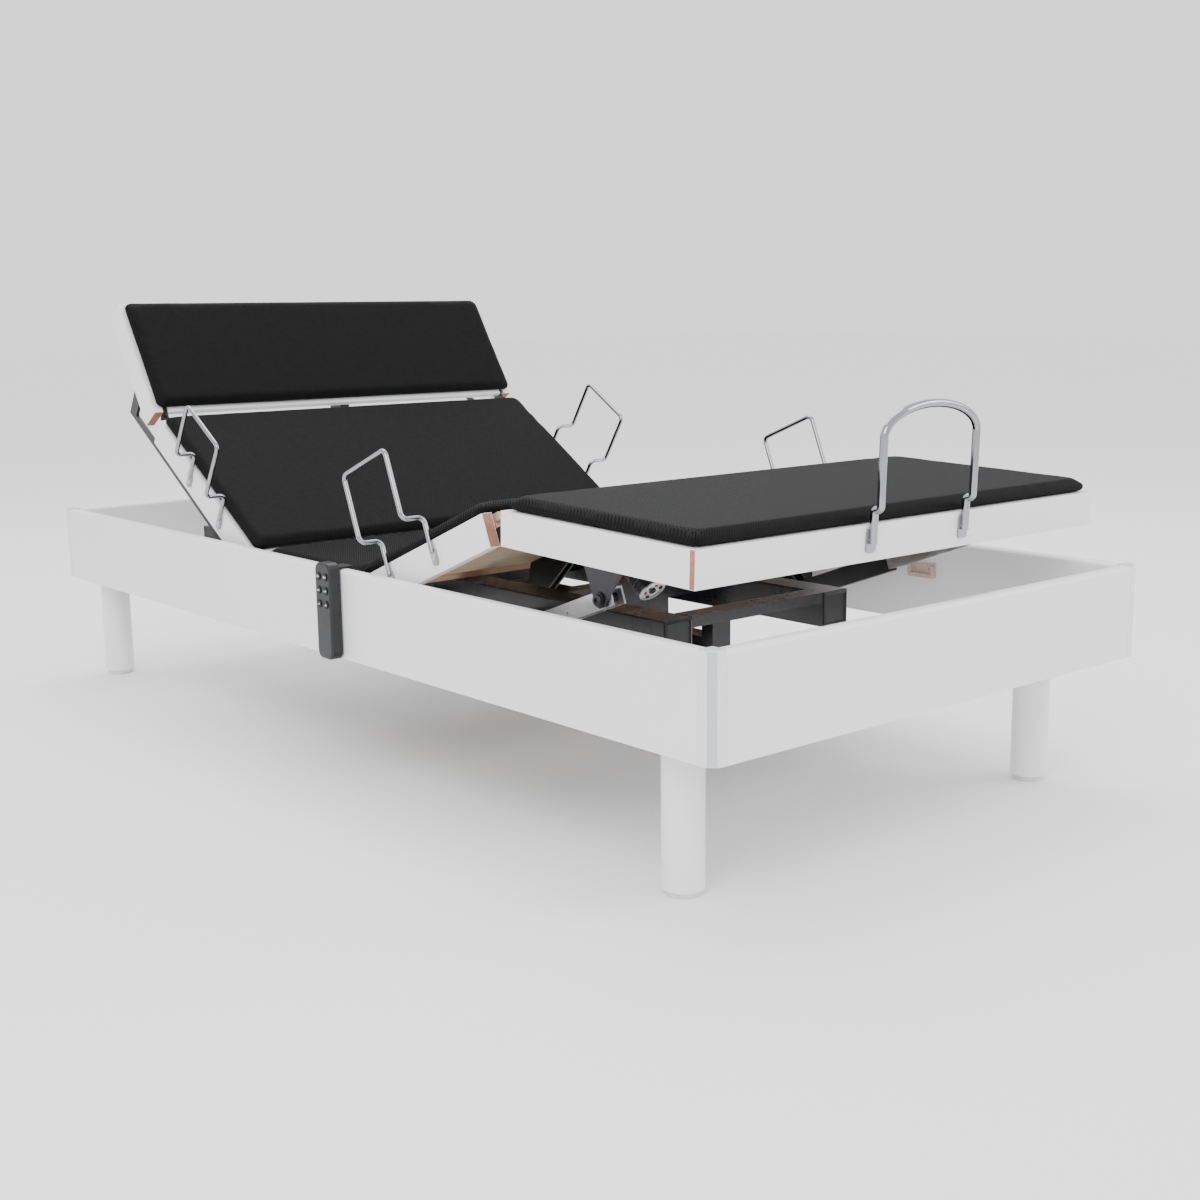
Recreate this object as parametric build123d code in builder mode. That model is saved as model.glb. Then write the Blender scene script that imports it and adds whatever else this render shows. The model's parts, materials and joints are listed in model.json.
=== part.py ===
"""Adjustable bed base: a five-section tilting platform in a box surround on four legs.

Frame: millimetres, +Z up, floor at z = 0, +Y towards the head end, X across the bed.
The origin is on the floor under the middle of the box surround.
The model stands in its raised rest pose: back, head and thigh sections up, calf section level.
"""
from build123d import *
from math import atan2, cos, degrees, radians, sin
import os

# ---------------------------------------------------------------- box surround and legs
BED_WIDTH = 965.0            # outside of the side rails
FOOT_GAP = 26.0              # foot board to the foot rail when the platform lies flat
HEAD_GAP = 38.5              # head section to the head rail when the platform lies flat
LEG_HEIGHT = 222.0           # floor to the underside of the rails
RAIL_HEIGHT = 150.0
RAIL_THICKNESS = 24.0
RAIL_EDGE_RADIUS = 8.0
CORNER_SIZE = 26.0           # square of the corner profile
CORNER_CHAMFER = 13.0
CORNER_BORE = 6.0
LEG_RADIUS = 30.5
LEG_SIDE_INSET = 82.0        # leg axis from the side rail's outer face
LEG_FOOT_INSET = 140.0       # leg axis from the foot rail's outer face
LEG_HEAD_INSET = 52.0        # leg axis from the head rail's outer face
GLIDE_HEIGHT = 8.0
GLIDE_RADIUS = 26.0
LEG_PLATE_THICKNESS = 5.0
LEG_PLATE_LENGTH = 100.0
LEG_PLATE_WIDTH = 105.0

# ---------------------------------------------------------------- platform sections
SEAT_DROP = 27.0             # flat board tops below the rails' top
BOARD_GAP = 15.1             # side boards to the rails' inner faces
BOARD_THICKNESS = 18.0
BOARD_HEIGHT = 53.0
DECK_THICKNESS = 12.0
DECK_SIDE_GAP = 11.4         # between deck edge and side board, where the hinge ears stand
PAD_THICKNESS = 22.0
PAD_INSET = 2.4              # pad edge behind the board's outer face
PAD_CORNER_RADIUS = 14.0
PAD_EDGE_RADIUS = 9.0
PAD_END_INSET = 2.0

SEAT_SPAN = 344.9            # between the seat's two hinge axes
BACK_ANGLE = 32.1            # rest angle above level
BACK_START = 18.0            # from the hinge axis to the near end of the boards
BACK_END = 447.0
THIGH_ANGLE = 22.0
THIGH_HIGHEST = 35.0
THIGH_START = 14.0
THIGH_END = 399.0
HINGE_DEPTH = 14.0           # seat hinge axes under the deck boards' top
KNEE_GAP = 33.6              # between thigh and calf boards when flat
KNEE_DEPTH = 38.0
CALF_ANGLE = 1.95            # rest slope, foot end lower
CALF_LENGTH = 411.0
NECK_GAP = 30.0
NECK_DEPTH = 15.0
HEAD_ANGLE = 57.0
HEAD_LENGTH = 254.0

# ---------------------------------------------------------------- hinges
PIN_RADIUS = 5.0
RUNNING_CLEARANCE = 0.05     # radial, pin in a moving ear
EAR_RADIUS = 12.5
EAR_THICKNESS = 4.4
EAR_GAP = 0.5                # between ear and side board, and between two ears
EAR_REACH = 60.0

# ---------------------------------------------------------------- steel frame
BEAM_INNER = 151.0
BEAM_WIDTH = 60.0
BEAM_HEIGHT = 60.0
BEAM_FOOT_INSET = 384.0      # beams' foot ends from the foot rail's outer face
BEAM_HEAD_INSET = 116.0      # beams' head ends from the head rail's outer face
BEAM_WALL = 3.0
CROSSBAR_WIDTH = 40.0
MIDDLE_BAR_HEIGHT = 38.0     # cross bars between the beams, flush with their tops
SIDE_BAR_HEIGHT = 28.0       # outer cross bars, under the side boards when flat
SIDE_BAR_GAP = 4.0           # side board to outer cross bar when flat
HEAD_BAR_INSET = 34.0        # last cross bar's middle from the beams' head ends
MIDDLE_BAR_AHEAD = 192.5     # middle cross bar from the back hinge
FOOT_BAR_HEIGHT = 18.0
BEARER_WIDTH = 60.0
BEARER_HEIGHT = 15.0
BEARER_INSET = 50.0          # bearers' middles from the seat deck's ends
SLAT_THICKNESS = 9.0         # wooden slats and steel bars under the tilting decks
SLAT_WIDTH = 44.0

# ---------------------------------------------------------------- level links of the calf section
LINK_INSET = 30.4            # middle of the link arms from the boards' inner faces
LINK_BAR_AHEAD = 48.7        # cross bar that carries the links, from their lower pivots
LINK_TUBE_WIDTH = 20.0
LINK_TUBE_HEIGHT = 34.0
LINK_TUBE_END = 232.0
LINK_CHANNEL_WIDTH = 24.0
LINK_CHANNEL_HEIGHT = 26.0
LINK_CHANNEL_WALL = 3.0
LINK_OVERHANG = 19.0
LINK_PIVOT_S = 205.5         # pivot bolt in the calf section's own directions
LINK_PIVOT_N = -105.6
LINK_BOLT_RADIUS = 7.0
LINK_BOLT_CLEARANCE = 1.2    # opened pivot: room for the straight-line coupling's error

# ---------------------------------------------------------------- drives
DRIVE_DROP = 94.0            # drive axes under the flat board tops
BACK_DRIVE_X = 70.0
BACK_LEVER = 85.0
BACK_LEVER_MIDDLE = 26.0     # back angle at which the lever hangs straight down
LEG_DRIVE_X = -70.0
LEG_LEVER = 76.0
LEG_LEVER_MIDDLE = 17.5
HEAD_LEVER = 45.0
HEAD_LEVER_MIDDLE = 20.0
ROD_RADIUS = 8.0
TUBE_RADIUS = 16.0
HOUSING_SIZE = 40.0
HOUSING_LENGTH = 110.0
DRIVE_MOTOR_LENGTH = 50.0    # motor block beside the housing, square across
DRIVE_MOTOR_SIZE = 36.0
DRIVE_BORE_INSET = 40.0      # closed end of the push rod's bore from the housing's rear
HANGER_WIDTH = 25.0
BACK_TUBE_SHORT = 102.5      # end of the back drive's tube ahead of the back hinge
LEG_TUBE_SHORT = 107.6       # end of the leg drive's tube ahead of the thigh hinge
EYE_THICKNESS = 10.0
EYE_SLOT_CLEARANCE = 1.4     # each side of the lever pin
EYE_SHANK = 24.0             # flat part of the eye between the slot and the round rod
LEVER_PLATE = 5.0
LEVER_GAP = 1.0              # between the eye and each lever plate

# ---------------------------------------------------------------- mattress retainers
BAR_RADIUS = 4.0
RETAINER_WIDTH = 134.0
RETAINER_JOG = 38.0          # height of the outward jog above the boards
RETAINER_STEP = 43.6         # upright bars outside the boards
RETAINER_TOP = 152.0
RETAINER_BEND = 11.0
RETAINER_FOOT = 27.0         # eyelet holes below the boards' top
RETAINER_HEEL = 19.0         # lower end of the round bar
BACK_RETAINER_S = 149.0
THIGH_RETAINER_S = 120.0
FOOT_BAR_RADIUS = 6.0
FOOT_RETAINER_WIDTH = 208.0
FOOT_RETAINER_JOG = 22.0
FOOT_RETAINER_OUT = 17.0
FOOT_RETAINER_SHOULDER = 122.0
FOOT_RETAINER_TOP = 166.0

# ---------------------------------------------------------------- handset
HANDSET_WIDTH = 47.0
HANDSET_HEIGHT = 162.0
HANDSET_RISE = 12.0          # case above the rail's top
HANDSET_AHEAD = 0.9          # handset's middle from the thigh hinge
HANDSET_THICKNESS = 20.0
HANDSET_GAP = 3.5            # case behind the rail's outer face
HOOK_THICKNESS = 3.5
HOOK_CLEARANCE = 0.4
HOOK_DROP = 27.0
BUTTON_RADIUS = 6.4
BUTTON_CLEARANCE = 0.3
BUTTON_HEIGHT = 5.0
BUTTON_PROUD = 2.0
BUTTON_POCKET = 5.0
BUTTON_DROP = 23.0           # first row of buttons under the case's top
BUTTON_PITCH = 23.0
BUTTON_COLUMN = 10.5

# ---------------------------------------------------------------- worked out from the sizes above
SIDES = (-1, 1)
HALF_WIDTH = BED_WIDTH / 2
RAIL_TOP = LEG_HEIGHT + RAIL_HEIGHT
RAIL_INNER = HALF_WIDTH - RAIL_THICKNESS
BOARD_OUTER = RAIL_INNER - BOARD_GAP
BOARD_INNER = BOARD_OUTER - BOARD_THICKNESS
DECK_HALF = BOARD_INNER - DECK_SIDE_GAP
KNEE_S = THIGH_END + KNEE_GAP / 2
CALF_START = KNEE_GAP / 2
CALF_END = CALF_START + CALF_LENGTH
NECK_S = BACK_END + NECK_GAP / 2
HEAD_START = NECK_GAP / 2
HEAD_END = HEAD_START + HEAD_LENGTH
PLATFORM_LENGTH = CALF_END + KNEE_S + SEAT_SPAN + NECK_S + HEAD_END
HALF_LENGTH = (PLATFORM_LENGTH + FOOT_GAP + HEAD_GAP) / 2 + RAIL_THICKNESS
THIGH_AXIS_Y = RAIL_THICKNESS - HALF_LENGTH + FOOT_GAP + CALF_END + KNEE_S
BACK_AXIS_Y = THIGH_AXIS_Y + SEAT_SPAN
SEAT_FOOT_Y = THIGH_AXIS_Y + THIGH_START
SEAT_HEAD_Y = BACK_AXIS_Y - BACK_START
SEAT_TOP = RAIL_TOP - SEAT_DROP
HINGE_Z = SEAT_TOP - HINGE_DEPTH
BEAM_TOP = SEAT_TOP - DECK_THICKNESS - BEARER_HEIGHT
BEAM_OUTER = BEAM_INNER + BEAM_WIDTH
BEAM_FOOT_Y = BEAM_FOOT_INSET - HALF_LENGTH
BEAM_HEAD_Y = HALF_LENGTH - BEAM_HEAD_INSET
MIDDLE_BAR_BOTTOM = BEAM_TOP - MIDDLE_BAR_HEIGHT
SIDE_BAR_TOP = SEAT_TOP - BOARD_HEIGHT - SIDE_BAR_GAP
SIDE_BAR_BOTTOM = SIDE_BAR_TOP - SIDE_BAR_HEIGHT
OUTER_EAR_X = BOARD_INNER - EAR_GAP - EAR_THICKNESS / 2
INNER_EAR_X = OUTER_EAR_X - EAR_THICKNESS - EAR_GAP
LINK_CENTRE = BOARD_INNER - LINK_INSET
RETAINER_OUT = BOARD_OUTER + RETAINER_STEP


def section_plane(axis_y, axis_z, angle, depth, towards_head):
    """Plane on a section's board tops: local y runs along the section, local z out of the deck."""
    lean = radians(angle)
    out = Vector(0, -sin(lean), cos(lean)) if towards_head else Vector(0, sin(lean), cos(lean))
    across = (1, 0, 0) if towards_head else (-1, 0, 0)
    return Plane(origin=Vector(0, axis_y, axis_z) + out * depth, x_dir=across, z_dir=out)


def side_plane(section, x):
    """Plane across the bed at x, with local x along the section and local y out of the deck."""
    return Plane(
        origin=section.origin + Vector(x, 0, 0),
        x_dir=section.y_dir,
        z_dir=section.y_dir.cross(section.z_dir),
    )


def in_section(section, s, n):
    """World point s along and n above a section's board tops, in the middle of the bed."""
    return section.origin + section.y_dir * s + section.z_dir * n


SEAT = Plane(origin=(0, 0, SEAT_TOP), x_dir=(1, 0, 0), z_dir=(0, 0, 1))
BACK = section_plane(BACK_AXIS_Y, HINGE_Z, BACK_ANGLE, HINGE_DEPTH, True)
THIGH = section_plane(THIGH_AXIS_Y, HINGE_Z, THIGH_ANGLE, HINGE_DEPTH, False)
KNEE = in_section(THIGH, KNEE_S, -KNEE_DEPTH)
CALF = section_plane(KNEE.Y, KNEE.Z, -CALF_ANGLE, KNEE_DEPTH, False)
NECK = in_section(BACK, NECK_S, -NECK_DEPTH)
HEAD = section_plane(NECK.Y, NECK.Z, HEAD_ANGLE, NECK_DEPTH, True)


def link_pivot(thigh_angle):
    """Upper link pivot at a thigh angle, with the calf section's slope in step with it."""
    thigh = section_plane(THIGH_AXIS_Y, HINGE_Z, thigh_angle, HINGE_DEPTH, False)
    knee = in_section(thigh, KNEE_S, -KNEE_DEPTH)
    calf = section_plane(knee.Y, knee.Z, -CALF_ANGLE * thigh_angle / THIGH_ANGLE, KNEE_DEPTH, False)
    return in_section(calf, LINK_PIVOT_S, LINK_PIVOT_N)


# The lower link pivot is the centre of the arc that the upper one follows.
PIVOT_ARC = Edge.make_three_point_arc(link_pivot(0), link_pivot(THIGH_ANGLE), link_pivot(THIGH_HIGHEST))
LINK_ANCHOR = PIVOT_ARC.arc_center
LINK_ARM = link_pivot(THIGH_ANGLE) - LINK_ANCHOR
LINK_LENGTH = LINK_ARM.length
LINK_ANGLE = degrees(atan2(LINK_ARM.Z, -LINK_ARM.Y))
LINK = section_plane(LINK_ANCHOR.Y, LINK_ANCHOR.Z, LINK_ANGLE, 0, False)
LINK_BAR_Y = LINK_ANCHOR.Y + LINK_BAR_AHEAD
MIDDLE_BAR_Y = BACK_AXIS_Y - MIDDLE_BAR_AHEAD
HEAD_BAR_Y = BEAM_HEAD_Y - HEAD_BAR_INSET


def block(plane, x, s_from, s_to, n_from, n_to):
    """Add a straight block: x is (low, high) across the bed."""
    low, high = x
    middle = (low + high) / 2 * plane.x_dir.X
    with BuildSketch(plane.offset(n_from)) as outline:
        with Locations((middle, (s_from + s_to) / 2)):
            Rectangle(high - low, s_to - s_from)
    extrude(outline.sketch, amount=n_to - n_from)


def mirrored(side, low, high):
    """The span low..high from the middle of the bed, on the given side."""
    return (low, high) if side > 0 else (-high, -low)


def ear(section, x, s_axis, n_axis, s_to, bore):
    """Add a hinge ear: a flat plate with a round end about the hinge axis."""
    with BuildSketch(side_plane(section, x)) as outline:
        with BuildLine():
            top = n_axis + EAR_RADIUS
            bottom = n_axis - EAR_RADIUS
            turn = 1 if s_to > s_axis else -1
            Line((s_axis, top), (s_to, top))
            Line((s_to, top), (s_to, bottom))
            Line((s_to, bottom), (s_axis, bottom))
            ThreePointArc((s_axis, bottom), (s_axis - turn * EAR_RADIUS, n_axis), (s_axis, top))
        make_face()
        with Locations((s_axis, n_axis)):
            Circle(bore, mode=Mode.SUBTRACT)
    extrude(outline.sketch, amount=EAR_THICKNESS / 2, both=True)


def cross_pin(point, x_from, x_to, radius):
    """Add a round pin along X through the given point of the Y-Z plane."""
    with BuildSketch(Plane(origin=(x_from, point.Y, point.Z), x_dir=(0, 1, 0), z_dir=(1, 0, 0))) as disc:
        Circle(radius)
    extrude(disc.sketch, amount=x_to - x_from)


def save(part, name):
    part.label = name
    export_step(part, f"parts/{name}.step")


os.makedirs("parts", exist_ok=True)

# ================================================================ box surround
for side, name in ((-1, "rail_left"), (1, "rail_right")):
    with BuildPart() as rail:
        block(SEAT, mirrored(side, RAIL_INNER, HALF_WIDTH), CORNER_SIZE - HALF_LENGTH,
              HALF_LENGTH - CORNER_SIZE, LEG_HEIGHT - SEAT_TOP, RAIL_TOP - SEAT_TOP)
        fillet(rail.edges().filter_by(Axis.Y).group_by(Axis.Z)[-1], RAIL_EDGE_RADIUS)
    save(rail.part, name)

for end, name in ((-1, "rail_foot"), (1, "rail_head")):
    near = end * (HALF_LENGTH - RAIL_THICKNESS)
    far = end * HALF_LENGTH
    with BuildPart() as rail:
        block(SEAT, (CORNER_SIZE - HALF_WIDTH, HALF_WIDTH - CORNER_SIZE), min(near, far), max(near, far),
              LEG_HEIGHT - SEAT_TOP, RAIL_TOP - SEAT_TOP)
        fillet(rail.edges().filter_by(Axis.X).group_by(Axis.Z)[-1], RAIL_EDGE_RADIUS)
    save(rail.part, name)

with BuildPart() as corner_profiles:
    corner_x = HALF_WIDTH - CORNER_SIZE / 2
    corner_y = HALF_LENGTH - CORNER_SIZE / 2
    with BuildSketch(Plane.XY.offset(LEG_HEIGHT)):
        with GridLocations(2 * corner_x, 2 * corner_y, 2, 2):
            Rectangle(CORNER_SIZE, CORNER_SIZE)
        chamfer([v for v in vertices() if abs(v.X) > corner_x and abs(v.Y) > corner_y], CORNER_CHAMFER)
        with GridLocations(2 * corner_x, 2 * corner_y, 2, 2):
            Circle(CORNER_BORE, mode=Mode.SUBTRACT)
    extrude(amount=RAIL_HEIGHT)
save(corner_profiles.part, "corner_profiles")

# ================================================================ legs
LEG_X = HALF_WIDTH - LEG_SIDE_INSET
LEG_FOOT_Y = LEG_FOOT_INSET - HALF_LENGTH
LEG_HEAD_Y = HALF_LENGTH - LEG_HEAD_INSET
LEG_SPOTS = [(side * LEG_X, y) for side in SIDES for y in (LEG_FOOT_Y, LEG_HEAD_Y)]

with BuildPart() as legs:
    with BuildSketch(Plane.XY.offset(GLIDE_HEIGHT)):
        with Locations(*LEG_SPOTS):
            Circle(LEG_RADIUS)
    extrude(amount=LEG_HEIGHT - GLIDE_HEIGHT)
    chamfer(legs.edges().filter_by(GeomType.CIRCLE).group_by(Axis.Z)[0], 1.5)
save(legs.part, "legs")

with BuildPart() as leg_glides:
    with BuildSketch(Plane.XY):
        with Locations(*LEG_SPOTS):
            Circle(GLIDE_RADIUS)
    extrude(amount=GLIDE_HEIGHT)
    fillet(leg_glides.edges().filter_by(GeomType.CIRCLE).group_by(Axis.Z)[0], 2.0)
save(leg_glides.part, "leg_glides")

with BuildPart() as leg_plates:
    for spot_x, spot_y in LEG_SPOTS:
        y_to = min(spot_y + LEG_PLATE_LENGTH / 2, HALF_LENGTH - CORNER_SIZE)
        x_span = mirrored(1 if spot_x > 0 else -1, RAIL_INNER - LEG_PLATE_WIDTH, RAIL_INNER)
        block(SEAT, x_span, spot_y - LEG_PLATE_LENGTH / 2, y_to,
              LEG_HEIGHT - SEAT_TOP, LEG_HEIGHT + LEG_PLATE_THICKNESS - SEAT_TOP)
save(leg_plates.part, "leg_plates")

# ================================================================ steel frame
for side, name in ((-1, "frame_beam_left"), (1, "frame_beam_right")):
    with BuildPart() as beam:
        beam_x = side * (BEAM_INNER + BEAM_WIDTH / 2)
        beam_z = BEAM_TOP - BEAM_HEIGHT / 2
        with BuildSketch(Plane(origin=(beam_x, BEAM_FOOT_Y, beam_z), x_dir=(1, 0, 0), z_dir=(0, 1, 0))):
            RectangleRounded(BEAM_WIDTH, BEAM_HEIGHT, BEAM_WALL)
        extrude(amount=BEAM_HEAD_Y - BEAM_FOOT_Y)
        inside_from = BEAM_FOOT_Y + BEAM_WALL
        with BuildSketch(Plane(origin=(beam_x, inside_from, beam_z), x_dir=(1, 0, 0), z_dir=(0, 1, 0))):
            Rectangle(BEAM_WIDTH - 2 * BEAM_WALL, BEAM_HEIGHT - 2 * BEAM_WALL)
        extrude(amount=BEAM_HEAD_Y - inside_from, mode=Mode.SUBTRACT)
    save(beam.part, name)

with BuildPart() as frame_crossbars:
    for bar_y in (LINK_BAR_Y, MIDDLE_BAR_Y, HEAD_BAR_Y):
        bar_from = bar_y - CROSSBAR_WIDTH / 2
        bar_to = bar_y + CROSSBAR_WIDTH / 2
        block(SEAT, (-BEAM_INNER, BEAM_INNER), bar_from, bar_to,
              MIDDLE_BAR_BOTTOM - SEAT_TOP, BEAM_TOP - SEAT_TOP)
        for side in SIDES:
            block(SEAT, mirrored(side, BEAM_OUTER, RAIL_INNER), bar_from, bar_to,
                  SIDE_BAR_BOTTOM - SEAT_TOP, SIDE_BAR_TOP - SEAT_TOP)
    block(SEAT, (-BEAM_INNER, BEAM_INNER), BEAM_FOOT_Y, BEAM_FOOT_Y + CROSSBAR_WIDTH,
          BEAM_TOP - FOOT_BAR_HEIGHT - SEAT_TOP, BEAM_TOP - SEAT_TOP)
save(frame_crossbars.part, "frame_crossbars")

# Ears that hang the level links under the link bar, and those that carry the seat hinges.
LINK_EAR_X = LINK_TUBE_WIDTH / 2 + 1.0 + EAR_THICKNESS / 2
LINK_BAR_FACE = LINK_BAR_Y - CROSSBAR_WIDTH / 2
with BuildPart() as hinge_plates:
    for side in SIDES:
        for ear_side in SIDES:
            ear_x = side * LINK_CENTRE + ear_side * LINK_EAR_X
            with BuildSketch(side_plane(SEAT, ear_x)):
                with BuildLine():
                    top_n = SIDE_BAR_TOP - 2 - SEAT_TOP
                    low_n = SIDE_BAR_BOTTOM - SEAT_TOP
                    axis_y = LINK_ANCHOR.Y
                    axis_n = LINK_ANCHOR.Z - SEAT_TOP
                    Polyline((LINK_BAR_FACE, top_n), (axis_y + 10, top_n),
                             (axis_y - 10, axis_n + 11), (axis_y - 14, axis_n),
                             (axis_y - 10, axis_n - 11), (axis_y + 6, axis_n - 14),
                             (LINK_BAR_FACE, low_n), close=True)
                make_face()
                with Locations((axis_y, axis_n)):
                    Circle(PIN_RADIUS, mode=Mode.SUBTRACT)
            extrude(amount=EAR_THICKNESS / 2, both=True)
        for axis_y, seat_side in ((THIGH_AXIS_Y, 1), (BACK_AXIS_Y, -1)):
            ear(SEAT, side * OUTER_EAR_X, axis_y, -HINGE_DEPTH, axis_y + seat_side * EAR_REACH, PIN_RADIUS)
save(hinge_plates.part, "hinge_plates")

THIGH_AXIS = Vector(0, THIGH_AXIS_Y, HINGE_Z)
BACK_AXIS = Vector(0, BACK_AXIS_Y, HINGE_Z)
with BuildPart() as pivot_pins:
    for side in SIDES:
        reach = LINK_EAR_X + EAR_THICKNESS / 2
        cross_pin(LINK_ANCHOR, side * LINK_CENTRE - reach, side * LINK_CENTRE + reach, PIN_RADIUS)
        span = mirrored(side, INNER_EAR_X - EAR_THICKNESS / 2, OUTER_EAR_X + EAR_THICKNESS / 2)
        cross_pin(THIGH_AXIS, *span, PIN_RADIUS)
        cross_pin(BACK_AXIS, *span, PIN_RADIUS)
save(pivot_pins.part, "pivot_pins")

# Plastic brackets on the inner faces of the side rails, two screws each.
FIXING_LENGTH = 54.0
FIXING_DEPTH = 13.0
FIXING_WEB = 4.0
FIXING_CHEEK = 5.0
FIXING_LOW = -40.0           # underside from the flat board tops
FIXING_SPOTS = (416.0 - HALF_LENGTH, HALF_LENGTH - 396.0)
with BuildPart() as fixing_brackets:
    for side in SIDES:
        depth = mirrored(side, RAIL_INNER - FIXING_DEPTH, RAIL_INNER)
        web = mirrored(side, RAIL_INNER - FIXING_WEB, RAIL_INNER)
        for bracket_y in FIXING_SPOTS:
            y_from = bracket_y - FIXING_LENGTH / 2
            y_to = bracket_y + FIXING_LENGTH / 2
            block(SEAT, depth, y_from, y_to, FIXING_LOW, FIXING_LOW + 6)
            block(SEAT, web, y_from, y_to, FIXING_LOW, FIXING_LOW + 26)
            block(SEAT, depth, y_from, y_from + FIXING_CHEEK, FIXING_LOW, FIXING_LOW + 20)
            block(SEAT, depth, y_to - FIXING_CHEEK, y_to, FIXING_LOW, FIXING_LOW + 20)
            screw_plane = Plane(origin=(side * RAIL_INNER, bracket_y, SEAT_TOP + FIXING_LOW + 15),
                                x_dir=(0, 1, 0), z_dir=(-side, 0, 0))
            with Locations(screw_plane):
                with Locations((-15, 0), (15, 0)):
                    Cylinder(2.5, 3 * FIXING_WEB, mode=Mode.SUBTRACT)
save(fixing_brackets.part, "fixing_brackets")


# ================================================================ section pieces
def deck(section, s_from, s_to):
    """Deck board between the side boards."""
    block(section, (-DECK_HALF, DECK_HALF), s_from, s_to, -DECK_THICKNESS, 0)


def side_boards(section, s_from, s_to):
    """The two boards along a section's sides."""
    for side in SIDES:
        block(section, mirrored(side, BOARD_INNER, BOARD_OUTER), s_from, s_to, -BOARD_HEIGHT, 0)


def pad(section, s_from, s_to):
    """Padded cover on a section, crowned in the finished object."""
    half = BOARD_OUTER - PAD_INSET
    with BuildSketch(section) as outline:
        with Locations((0, (s_from + s_to) / 2)):
            RectangleRounded(2 * half, s_to - s_from, PAD_CORNER_RADIUS)
    extrude(outline.sketch, amount=PAD_THICKNESS)


def rounded_pad(section, s_from, s_to):
    """A pad with its upper edge rounded over."""
    with BuildPart() as soft:
        pad(section, s_from, s_to)
        top = [e for e in soft.edges() if abs((e.center() - section.origin).dot(section.z_dir)
                                              - PAD_THICKNESS) < 0.1]
        fillet(top, PAD_EDGE_RADIUS)
    return soft.part


SECTIONS = (
    ("seat", SEAT, SEAT_FOOT_Y, SEAT_HEAD_Y),
    ("back", BACK, BACK_START, BACK_END),
    ("head", HEAD, HEAD_START, HEAD_END),
    ("thigh", THIGH, THIGH_START, THIGH_END),
    ("calf", CALF, CALF_START, CALF_END),
)
for section_name, section, s_from, s_to in SECTIONS:
    board_to = s_to - BOARD_THICKNESS if section_name == "calf" else s_to
    with BuildPart() as section_deck:
        deck(section, s_from, board_to)
    save(section_deck.part, f"{section_name}_deck")
    with BuildPart() as section_boards:
        side_boards(section, s_from, board_to)
    save(section_boards.part, f"{section_name}_boards")
    save(rounded_pad(section, s_from + PAD_END_INSET, s_to - PAD_END_INSET), f"{section_name}_pad")

with BuildPart() as foot_board:
    block(CALF, (-BOARD_OUTER, BOARD_OUTER), CALF_END - BOARD_THICKNESS, CALF_END, -BOARD_HEIGHT, 0)
save(foot_board.part, "foot_board")

with BuildPart() as seat_bearers:
    for bearer_y in (SEAT_FOOT_Y + BEARER_INSET, SEAT_HEAD_Y - BEARER_INSET):
        block(SEAT, (-DECK_HALF, DECK_HALF), bearer_y - BEARER_WIDTH / 2, bearer_y + BEARER_WIDTH / 2,
              BEAM_TOP - SEAT_TOP, -DECK_THICKNESS)
save(seat_bearers.part, "seat_bearers")


# ================================================================ lift frames with their levers
def lever_tip(lever, middle, axis_depth):
    """Lever pin in section directions when the section lies flat: (s, n)."""
    return -lever * sin(radians(middle)), -axis_depth - lever * cos(radians(middle))


def lever_pair(section, x, tip, root_from, root_to, root_drop):
    """Two lever plates under the deck, joined by the pin that the push rod's eye holds."""
    tip_s, tip_n = tip
    reach = EYE_THICKNESS / 2 + LEVER_GAP + LEVER_PLATE
    for plate_side in SIDES:
        plate_x = x + plate_side * (reach - LEVER_PLATE / 2)
        with BuildSketch(side_plane(section, plate_x)) as outline:
            with BuildLine():
                Polyline((root_from, -DECK_THICKNESS), (root_to, -DECK_THICKNESS),
                         (root_to, -DECK_THICKNESS - root_drop), (tip_s + 12, tip_n - 4),
                         (tip_s + 4, tip_n - 12), (tip_s - 4, tip_n - 12),
                         (tip_s - 12, tip_n - 4), (tip_s - 12, tip_n + 4), close=True)
            make_face()
        extrude(outline.sketch, amount=LEVER_PLATE / 2, both=True)
    cross_pin(in_section(section, tip_s, tip_n), x - reach, x + reach, PIN_RADIUS)


def under_bar(section, s_from, s_to):
    """Flat steel bar across the underside of a deck."""
    block(section, (-DECK_HALF, DECK_HALF), s_from, s_to, -DECK_THICKNESS - SLAT_THICKNESS, -DECK_THICKNESS)


def inner_ears(section, axis_n):
    """Ears of a tilting section with a running bore."""
    for side in SIDES:
        ear(section, side * INNER_EAR_X, 0, axis_n, EAR_REACH, PIN_RADIUS + RUNNING_CLEARANCE)


def outer_ears_with_pins(section, axis_s, axis_n):
    """Ears at a section's far end, with the welded hinge pins of the next section."""
    for side in SIDES:
        ear(section, side * OUTER_EAR_X, axis_s, axis_n, axis_s - EAR_REACH, 0.6 * PIN_RADIUS)
        span = mirrored(side, INNER_EAR_X - EAR_THICKNESS / 2, OUTER_EAR_X + EAR_THICKNESS / 2)
        cross_pin(in_section(section, axis_s, axis_n), *span, PIN_RADIUS)


BACK_TIP = lever_tip(BACK_LEVER, BACK_LEVER_MIDDLE, HINGE_DEPTH)
with BuildPart() as back_lift_frame:
    inner_ears(BACK, -HINGE_DEPTH)
    lever_pair(BACK, BACK_DRIVE_X, BACK_TIP, BACK_START, 260, 14)
    under_bar(BACK, 300, 330)
    outer_ears_with_pins(BACK, NECK_S, -NECK_DEPTH)
save(back_lift_frame.part, "back_lift_frame")

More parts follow.
